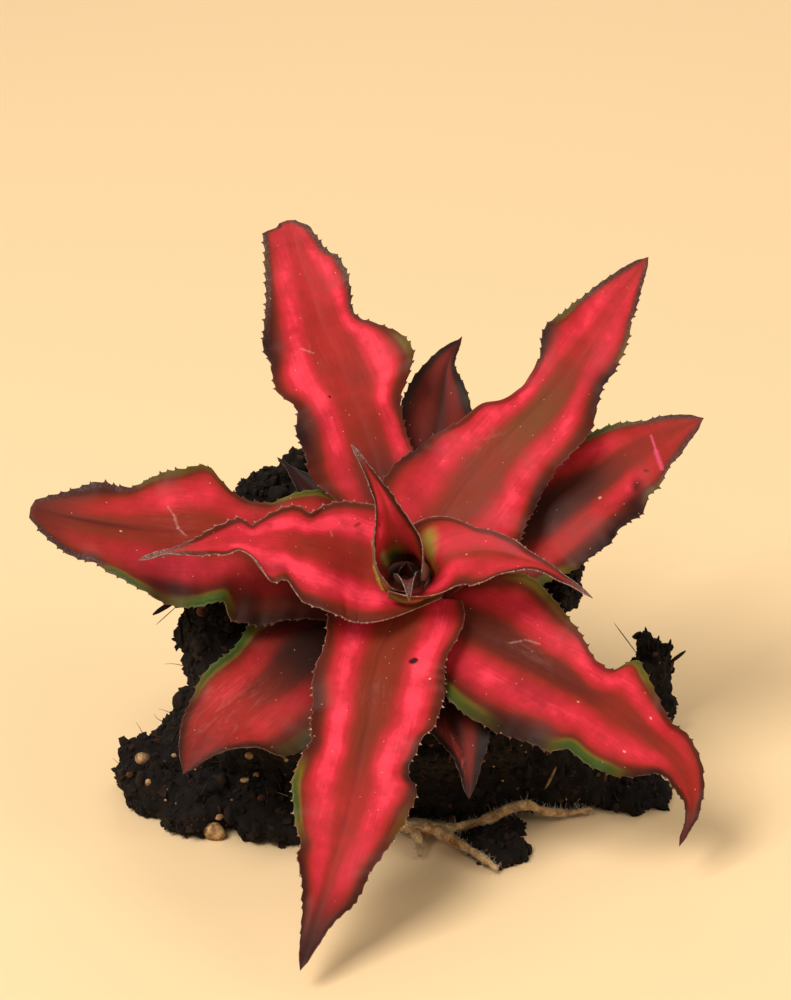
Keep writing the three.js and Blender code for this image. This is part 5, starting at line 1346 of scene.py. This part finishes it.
# Wet humus swallows nearly all light; a loose crumb dries a little and turns browner.
peat = earthy_material("damp_peat", "#050302", "#160D08", 3.0, 0.95, 0.4)
peat_crumb = earthy_material("peat_crumb", "#060403", "#2A1A10", 5.0, 0.95, 0.3)
# Foamed volcanic glass, rubbed smooth and stained tan by the peat: chalky and bright beside it.
pumice = earthy_material("pumice_grain", "#7A5A3A", "#CDA878", 1.6, 0.9, 0.25)
# Half-rotten bark: warm brown, in dull flakes. Dead stalks: straw-coloured and a little shinier.
bark = earthy_material("composted_bark", "#2A160C", "#6A3E20", 2.4, 0.9, 0.3)
straw = earthy_material("dry_fibre", "#6E5636", "#A08458", 1.2, 0.8, 0.1)
print("soil materials:", [m.name for m in (peat, peat_crumb, pumice, bark, straw)])

# %% Tree: a crumbly surface
LUMP, WARP, WARP_REACH = 9 * MM, 4 * MM, 1.6 * MM  # lumps; what bends the crumbs' outlines, and how far
CELL_DOME = 0.45  # where a crumb's surface meets the crack, as a share of its size

crumbly, given = new_tree("crumbly_surface", "Heap", "Heap", Crumb="Float", Crumb_height="Float",
                          Grain="Float", Grain_height="Float", Lump_height="Float", Stuff="Material")
place = add(crumbly, "GeometryNodeInputPosition")
lumps = add(crumbly, "ShaderNodeTexNoise", {"Vector": place, "Scale": 1 / LUMP, "Detail": 3.0})
rise = add(crumbly, "ShaderNodeMath", {0: lumps, 1: 0.5}, operation="SUBTRACT")
rise = add(crumbly, "ShaderNodeMath", {0: rise, 1: given["Lump height"]}, operation="MULTIPLY")
warp = add(crumbly, "ShaderNodeTexNoise", {"Vector": place, "Scale": 1 / WARP, "Detail": 2.0})
warp = add(crumbly, "ShaderNodeVectorMath", {0: warp.outputs["Color"], 3: WARP_REACH}, operation="SCALE")
place = add(crumbly, "ShaderNodeVectorMath", {0: place, 1: warp}, operation="ADD")
for cell in ("Crumb", "Grain"):
    scale = add(crumbly, "ShaderNodeMath", {0: 1.0, 1: given[cell]}, operation="DIVIDE")
    cells = add(crumbly, "ShaderNodeTexVoronoi", {"Vector": place, "Scale": scale, "Randomness": 1.0})
    dome = add(crumbly, "ShaderNodeMath", {0: CELL_DOME, 1: cells}, operation="SUBTRACT")
    rise = add(crumbly, "ShaderNodeMath", {0: dome, 1: given[cell + " height"], 2: rise},
               operation="MULTIPLY_ADD")
push = add(crumbly, "ShaderNodeVectorMath", {0: add(crumbly, "GeometryNodeInputNormal"), 3: rise},
           operation="SCALE")
heap = add(crumbly, "GeometryNodeSetPosition", {"Geometry": given["Heap"], "Offset": push})
heap = add(crumbly, "GeometryNodeSetMaterial", {"Geometry": heap, "Material": given["Stuff"]})
add(crumbly, "NodeGroupOutput", {"Heap": heap})
print("crumbly tree:", len(crumbly.nodes), "nodes")

# %% The heap
VOXEL = 0.8 * MM
WELD = 0.002 * MM  # the solid's mesh is loose triangles, which meet within this


def above_ground(piece):
    """No grain sinks under what the part rests on."""
    at = np.zeros(len(piece.data.vertices) * 3, np.float32)
    piece.data.vertices.foreach_get("co", at)
    at = at.reshape(-1, 3)
    at[:, 2] = np.maximum(at[:, 2], ground)
    piece.data.vertices.foreach_set("co", at.ravel())
    piece.data.update()


soil = placed("root_ball_soil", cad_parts["root_ball"].data.copy())
shell = bmesh.new()
shell.from_mesh(soil.data)
bmesh.ops.remove_doubles(shell, verts=shell.verts, dist=WELD)
shell.to_mesh(soil.data)
shell.free()
remesh = soil.modifiers.new("even", "REMESH")
remesh.mode, remesh.voxel_size = "VOXEL", VOXEL
soil.data = evaluated_mesh(soil)
soil.modifiers.clear()
grown(soil, crumbly, Crumb=4.2 * MM, Crumb_height=2.8 * MM, Grain=1.6 * MM, Grain_height=1.3 * MM,
      Lump_height=4.0 * MM, Stuff=peat)
soil.data.polygons.foreach_set("use_smooth", [True] * len(soil.data.polygons))
above_ground(soil)
finish_piece(soil, replaces=["root_ball"])

# %% Tree: grains on a surface
GRAIN_HALVES = ((0.6, 0.6, 0.45), (1.25, 1.1, 0.9))  # the flattest and the fullest grain, of its size
MOSTLY_SMALL = 2.2  # a higher power leaves fewer large grains

scatter, given = new_tree("grains_on_a_surface", "Heap", "Grains", Per_square_metre="Float", Smallest="Float",
                          Largest="Float", Seed="Int", Rough="Int", Stuff="Material")
spots = add(scatter, "GeometryNodeDistributePointsOnFaces", {
    "Mesh": given["Heap"], "Density": given["Per square metre"], "Seed": given["Seed"]})
ball = add(scatter, "GeometryNodeMeshIcoSphere", {"Radius": 1.0, "Subdivisions": given["Rough"]})
place = add(scatter, "GeometryNodeInputPosition")
bite = add(scatter, "ShaderNodeTexNoise", {"Vector": place, "Scale": 1.3, "Detail": 1.0})
bite = add(scatter, "ShaderNodeMapRange", {
    "Value": bite, "From Min": 0.3, "From Max": 0.7, "To Min": 0.6, "To Max": 1.25})
lumpy = add(scatter, "ShaderNodeVectorMath", {0: place, 3: bite}, operation="SCALE")
ball = add(scatter, "GeometryNodeSetPosition", {"Geometry": ball, "Position": lumpy})
rare = add(scatter, "FunctionNodeRandomValue", {"Min": 0.0, "Max": 1.0, "Seed": given["Seed"]},
           data_type="FLOAT")
rare = add(scatter, "ShaderNodeMath", {0: rare, 1: MOSTLY_SMALL}, operation="POWER")
size = add(scatter, "ShaderNodeMapRange", {
    "Value": rare, "To Min": given["Smallest"], "To Max": given["Largest"]})
shape = add(scatter, "FunctionNodeRandomValue", {
    "Min": GRAIN_HALVES[0], "Max": GRAIN_HALVES[1], "Seed": given["Seed"]}, data_type="FLOAT_VECTOR")
shape = add(scatter, "ShaderNodeVectorMath", {0: shape, 3: size}, operation="SCALE")
spin = add(scatter, "FunctionNodeRandomValue", {
    "Min": (0.0, 0.0, 0.0), "Max": (2 * pi, 2 * pi, 2 * pi), "Seed": given["Seed"]}, data_type="FLOAT_VECTOR")
grains = add(scatter, "GeometryNodeInstanceOnPoints", {
    "Points": spots.outputs["Points"], "Instance": ball, "Rotation": spin, "Scale": shape})
grains = add(scatter, "GeometryNodeRealizeInstances", {"Geometry": grains})
grains = add(scatter, "GeometryNodeSetMaterial", {"Geometry": grains, "Material": given["Stuff"]})
add(scatter, "NodeGroupOutput", {"Grains": grains})
print("grain tree:", len(scatter.nodes), "nodes")

# %% Loose crumbs, grit and bark
PER_CM2 = 1e4  # one in a square centimetre, in a square metre
SCATTERED = (
    # name, grains per square cm, smallest and largest half size in mm, ball steps, seed, material
    ("soil_clods", 1.6, 1.0, 2.6, 2, 7, peat_crumb),
    ("soil_crumbs", 15.0, 0.5, 1.6, 1, 3, peat_crumb),
    ("soil_grit", 24.0, 0.18, 0.6, 1, 4, peat_crumb),
    ("soil_bark_bits", 1.1, 0.3, 1.1, 2, 5, bark),
    ("soil_pumice_bits", 0.3, 0.25, 0.8, 2, 6, pumice),
)
for name, many, smallest, largest, steps, seed, stuff in SCATTERED:
    piece = grown(soil, scatter, name, Per_square_metre=many * PER_CM2, Smallest=smallest * MM,
                  Largest=largest * MM, Rough=steps, Seed=seed, Stuff=stuff)
    piece.data.polygons.foreach_set("use_smooth", [steps > 1] * len(piece.data.polygons))
    above_ground(piece)
    finish_piece(piece)

# %% [markdown]
# ## Bits that stand out
# Some grains are big enough to know by sight. Each is a lumpy ball set on the
# heap along a ray from the camera, so that it lies on the soil from every
# side. Splinters of bark are the same balls drawn out between two places.

# %% Helpers: lumpy balls on the soil
DENTS, DENT = 4, 0.16  # how many waves shape a ball, and how deep each may be
heap_tree = BVHTree.FromPolygons([v.co for v in soil.data.vertices], [p.vertices for p in soil.data.polygons])


def lump(draw, middle, half, lean):
    """A lumpy ball in mm: its middle, three half sizes, and where its long axis (z) leans."""
    ball = bmesh.new()
    bmesh.ops.create_icosphere(ball, subdivisions=2, radius=1.0)
    at = np.array([v.co for v in ball.verts])
    faces = [[v.index for v in f.verts] for f in ball.faces]
    ball.free()
    for _ in range(DENTS):
        way = unit(draw.normal(size=3))
        at = at * (1 + draw.uniform(-DENT, DENT) * np.sin(2.2 * (at @ way) + draw.uniform(0, 6)))[:, None]
    turn = np.array(Vector(lean).to_track_quat("Z", "Y").to_matrix())
    return middle + (at * np.array(half)) @ turn.T, faces


def on_soil(px, py):
    """The soil behind a place in the picture, in mm, and which way it faces."""
    start, way = ray_through(px, py)
    place, normal, _, _ = heap_tree.ray_cast(start, way)
    return (np.array(place) / MM, np.array(normal)) if place else (None, None)


def one_piece(name, skins, stuff, replaces=()):
    """A finished piece from separate closed skins, each its points in mm and its faces."""
    points, faces = [], []
    for at, skin in skins:
        faces += [[i + len(points) for i in face] for face in skin]
        points += list(at)
    piece = new_object(name, np.array(points) * MM, faces)
    piece.data.materials.append(stuff)
    above_ground(piece)
    finish_piece(piece, replaces)
    return piece


# %% Pebbles
PUMICE_PEBBLES = (  # picture place, half width and half height in mm
    (215, 830, 2.3, 2.6), (219, 816, 1.1, 0.8), (144, 760, 1.7, 1.5), (174, 756, 0.7, 0.6),
    (149, 783, 0.8, 1.0), (250, 755, 1.0, 0.9), (256, 775, 0.7, 0.8), (246, 781, 1.1, 0.6),
    (286, 759, 0.5, 0.6), (181, 659, 0.8, 0.6), (166, 800, 0.4, 0.4), (232, 800, 0.4, 0.3),
    (196, 770, 0.4, 0.3))
BARK_PEBBLES = (
    (202, 613, 1.5, 1.3), (158, 742, 0.9, 0.7), (452, 820, 1.3, 0.9), (560, 800, 0.9, 0.6),
    (655, 655, 0.8, 0.6), (130, 775, 0.9, 0.7), (262, 798, 1.2, 0.6))
for name, rows, stuff, seed in (("soil_pumice_pebbles", PUMICE_PEBBLES, pumice, 21),
                                ("soil_bark_pebbles", BARK_PEBBLES, bark, 22)):
    draw, pebbles = np.random.default_rng(seed), []
    for px, py, wide, tall in rows:
        place, normal = on_soil(px, py)
        if place is not None:
            half = (wide, 0.8 * wide, tall)
            pebbles.append(lump(draw, place + normal * 0.2 * wide, half, lean=(0, 0, 1)))
    one_piece(name, pebbles, stuff)

# %% Splinters and straws
SPLINTERS = (  # from and to in the picture, thickness in mm
    (176, 600, 155, 613, 1.6), (181, 641, 179, 619, 0.9), (190, 625, 184, 604, 0.9),
    (648, 648, 646, 629, 1.2), (666, 657, 671, 639, 1.0), (668, 664, 684, 652, 1.1),
    (656, 650, 659, 636, 0.8), (640, 657, 614, 623, 0.3), (178, 608, 157, 624, 0.25))
STRAWS = (
    (546, 785, 555, 769, 0.9), (300, 800, 270, 790, 0.3), (575, 803, 592, 786, 0.35),
    (578, 806, 598, 795, 0.3), (570, 806, 580, 788, 0.4))
SEARCH_PX = 30  # how far from a splinter's foot soil is looked for
HAIRLINE = 0.5  # thinner ones always stand free of the soil, mm
LYING = 8  # a splinter with soil this near behind its tip lies on it, mm
OVERLAP = 0.6  # how far a splinter runs on past both its ends, mm


def foot_of(px, py, thick):
    """Where a splinter starts: on the soil there, or else on the nearest soil round it."""
    foot, facing = on_soil(px, py)
    if foot is not None:
        return foot + 0.5 * thick * facing
    for reach in range(1, SEARCH_PX):
        for turn in np.arange(0, 2 * pi, pi / 6):
            foot, _ = on_soil(px + reach * cos(turn), py + reach * sin(turn))
            if foot is not None:
                return foot
    return None


for name, rows, stuff, seed in (("soil_splinters", SPLINTERS, peat_crumb, 23),
                                ("soil_straws", STRAWS, straw, 24)):
    draw, splinters = np.random.default_rng(seed), []
    for from_x, from_y, to_x, to_y, thick in rows:
        foot = foot_of(from_x, from_y, thick)
        if foot is None:
            continue
        start, way = ray_through(to_x, to_y)
        tip = np.array(start + way * ((Vector(foot) * MM - start).dot(way))) / MM
        behind, _ = on_soil(to_x, to_y)
        if behind is not None and thick > HAIRLINE and np.linalg.norm(behind - foot) < LYING:
            tip = behind - 0.5 * thick * np.array(way)
        half = (thick / 2, thick / 3, np.linalg.norm(tip - foot) / 2 + OVERLAP)
        splinters.append(lump(draw, (foot + tip) / 2, half, lean=tip - foot))
    one_piece(name, splinters, stuff)

# %% [markdown]
# ## Roots
# Two thin, tan roots hang out of the soil and lie along the ground, with wool
# of pale root hairs. A root is a tube swept along its route with a slightly
# knotty radius; the wool is a Geometry Nodes scatter of tapered hairs, since
# hair curves would be lost in an export.

# %% Root tubes
ROOT_ROUTES = (  # places in mm, then the radius at the start and at the end
    ([[-9, -15, 5], [-4, -22, 3.4], [3, -25.5, 3.1], [12.4, -25, 3.2], [18.3, -23.5, 4],
      [25, -21, 6], [28, -20, 5.9], [31.7, -19, 3.8], [35.3, -17, 2.1], [43, -14.5, 1.2]], (1.7, 0.7)),
    ([[1, -25, 3.1], [7, -26.5, 3.1], [11.5, -31, 2.7], [15.3, -34.5, 2.5], [18.7, -38.5, 2],
      [20.5, -40.5, 1.6]], (1.6, 0.6)),
    ([[2, -25.4, 3], [3, -29, 2.4], [3.4, -34, 1.1]], (1.3, 0.5)),
)
ROOT_SIDES, ROOT_PITCH = 10, 0.6  # faces round a root, and mm between its rings
KNOTS, KNOT_APART = 0.3, 1.7  # how much the radius varies, and every how many mm


def tube(route, radii, seed):
    """Points in mm and faces of a knotty tube with closed ends."""
    rows = along_route(route)
    length = rows[-1, 0]
    at = np.linspace(0, length, int(length / ROOT_PITCH))
    centre = place_through(rows, at)
    ahead = unit(np.gradient(centre, axis=0))
    side = unit(np.cross(ahead, [0.0, 0.0, 1.0]))
    up = np.cross(side, ahead)
    knots = np.arange(0, length + 3, KNOT_APART)
    uneven = np.random.default_rng(seed).uniform(-1, 1, len(knots))
    radius = np.linspace(*radii, len(at)) * (1 + KNOTS * np.interp(at, knots, uneven))
    angle = np.linspace(0, 2 * pi, ROOT_SIDES, endpoint=False)
    ring = side[:, None] * np.cos(angle)[None, :, None] + up[:, None] * np.sin(angle)[None, :, None]
    points = (centre[:, None] + ring * radius[:, None, None]).reshape(-1, 3)

    faces, last = [], len(points) - ROOT_SIDES
    for first in range(0, last, ROOT_SIDES):
        for k in range(ROOT_SIDES):
            a, b = first + k, first + (k + 1) % ROOT_SIDES
            faces.append((a, b, b + ROOT_SIDES, a + ROOT_SIDES))
    return points, faces + [tuple(reversed(range(ROOT_SIDES))), tuple(range(last, last + ROOT_SIDES))]


# A dry, felted root: tan cork that shows paler where hairs cling to it.
root_cork = earthy_material("woolly_root", "#8E6030", "#E0BE88", 2.2, 0.85, 0.2)
tubes = [tube(*row, seed) for seed, row in enumerate(ROOT_ROUTES, 31)]
roots = one_piece("root_front_tubes", tubes, root_cork, replaces=["root_front"])

# %% [markdown]
# ## Hairs and fibres
# One tree serves the root wool and the fibres in the soil: a bent, tapering
# hair with three sides, set on random points and leaning at random from the
# surface's own direction.

# %% Tree: hairs on a surface
HAIR_ARC = {"Start": (0, 0, -0.05), "Middle": (0.1, 0.05, 0.6), "End": (0.45, 0.2, 0.95)}  # of a hair 1 long

hairs, given = new_tree("hairs_on_a_surface", "Body", "Hairs", Per_square_metre="Float", Shortest="Float",
                        Longest="Float", Thickness="Float", Lean="Float", Seed="Int", Stuff="Material")
spots = add(hairs, "GeometryNodeDistributePointsOnFaces", {
    "Mesh": given["Body"], "Density": given["Per square metre"], "Seed": given["Seed"]})
arc = add(hairs, "GeometryNodeCurveQuadraticBezier", {"Resolution": 5, **HAIR_ARC})
along = add(hairs, "GeometryNodeSplineParameter").outputs["Factor"]
taper = add(hairs, "ShaderNodeMapRange", {"Value": along, "To Min": 1.0, "To Max": 0.25})
ring = add(hairs, "GeometryNodeCurvePrimitiveCircle", {"Resolution": 3, "Radius": given["Thickness"]})
strand = add(hairs, "GeometryNodeCurveToMesh", {
    "Curve": arc, "Profile Curve": ring, "Scale": taper, "Fill Caps": True})
lean = add(hairs, "FunctionNodeRandomValue", {
    "Min": (-1.0, -1.0, 0.0), "Max": (1.0, 1.0, 2 * pi), "Seed": given["Seed"]}, data_type="FLOAT_VECTOR")
reach = add(hairs, "ShaderNodeCombineXYZ", {"X": given["Lean"], "Y": given["Lean"], "Z": 1.0})
leaned = add(hairs, "ShaderNodeVectorMath", {0: lean, 1: reach}, operation="MULTIPLY")
turned = add(hairs, "FunctionNodeRotateRotation", {
    "Rotation": spots.outputs["Rotation"], "Rotate By": leaned}, rotation_space="LOCAL")
long = add(hairs, "FunctionNodeRandomValue", {
    "Min": given["Shortest"], "Max": given["Longest"], "Seed": given["Seed"]}, data_type="FLOAT")
strands = add(hairs, "GeometryNodeInstanceOnPoints", {
    "Points": spots.outputs["Points"], "Instance": strand, "Rotation": turned, "Scale": long})
strands = add(hairs, "GeometryNodeRealizeInstances", {"Geometry": strands})
strands = add(hairs, "GeometryNodeSetMaterial", {"Geometry": strands, "Material": given["Stuff"]})
add(hairs, "NodeGroupOutput", {"Hairs": strands})
print("hair tree:", len(hairs.nodes), "nodes")

# %% Root wool and soil fibres
HAIR_THICKNESS = 0.03  # of its length
# Dead root hairs: silky, off-white threads that catch the light.
root_hair = earthy_material("root_hair", "#A09480", "#DCD4C4", 1.0, 0.8, 0.05)
HAIRY = (
    # name, body, hairs per square cm, shortest and longest in mm, lean, seed, material, slot
    ("root_wool", roots, 600, 0.8, 2.8, 0.9, 8, root_hair, "root"),
    ("soil_fibres", soil, 0.7, 2.0, 5.0, 1.2, 9, bark, "soil"),
)
for name, body, many, shortest, longest, tilt, seed, stuff, slot in HAIRY:
    piece = grown(body, hairs, name, Per_square_metre=many * PER_CM2, Shortest=shortest * MM,
                  Longest=longest * MM, Thickness=HAIR_THICKNESS, Lean=tilt, Seed=seed, Stuff=stuff)
    above_ground(piece)
    finish_piece(piece)

# %% [markdown]
# ## The stem
# The CAD stem is right as it is: a short, thick neck that the leaves hide. It
# keeps its own mesh and gets a fleshy, pale green rind.

# %% Stem rind
rind = earthy_material("bromeliad_stem_rind", "#4A5A2C", "#8A9A58", 4.0, 0.6, 0.1)
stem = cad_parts["stem"]
stem.data.materials.clear()
stem.data.materials.append(rind)
print("stem:", rind.name)

# %% [markdown]
# ## Stage
# A plain, pale floor and soft light: one large softbox from the upper left in
# front, a weaker one from the right and one from behind, and a pale sky that
# fills the shadows.

# %% Floor
FLOOR_HALF = 2.5  # m
FLOOR_BELOW = 0.05 * MM  # so that floor and foot don't flicker
quarter_turns = ((-1, -1), (1, -1), (1, 1), (-1, 1))
corners = [(x * FLOOR_HALF, y * FLOOR_HALF, ground - FLOOR_BELOW) for x, y in quarter_turns]
floor = new_object("floor", corners, [(0, 1, 2, 3)], smooth=False)
paper, _, paper_shader = new_material("pale_backdrop_paper")  # uncoated paper: quite matt
paper_shader.inputs["Base Color"].default_value = colour("#F5D8AA")
paper_shader.inputs["Roughness"].default_value = 0.9
floor.data.materials.append(paper)

# %% Lights and sky
LIGHTS = (
    # name, place in m, size in m, power in W, colour
    ("softbox_left", (-0.75, -0.7, 1.4), 0.75, 25.0, "#FFF7EE"),
    ("softbox_right", (0.9, -0.4, 0.6), 0.5, 2.6, "#FFF2E4"),
    ("softbox_back", (0.2, 1.0, 0.8), 0.6, 2.4, "#FFF2E4"),
)
for name, at, size, power, tint in LIGHTS:
    lamp = bpy.data.lights.new(name, "AREA")
    lamp.size, lamp.energy = size, power
    lamp.color = colour(tint)[:3]
    light = placed(name, lamp)
    light.location = at
    light.rotation_euler = (AIM - Vector(at)).to_track_quat("-Z", "Y").to_euler()
world = bpy.data.worlds.new("pale_sky")
world.use_nodes = True
sky = world.node_tree.nodes["Background"]
sky.inputs["Color"].default_value = colour("#FFF3E2")
sky.inputs["Strength"].default_value = 0.45
bpy.context.scene.world = world
bpy.context.scene.view_settings.view_transform = "Standard"  # colours come out as the hex values say
print("lights:", len(LIGHTS))
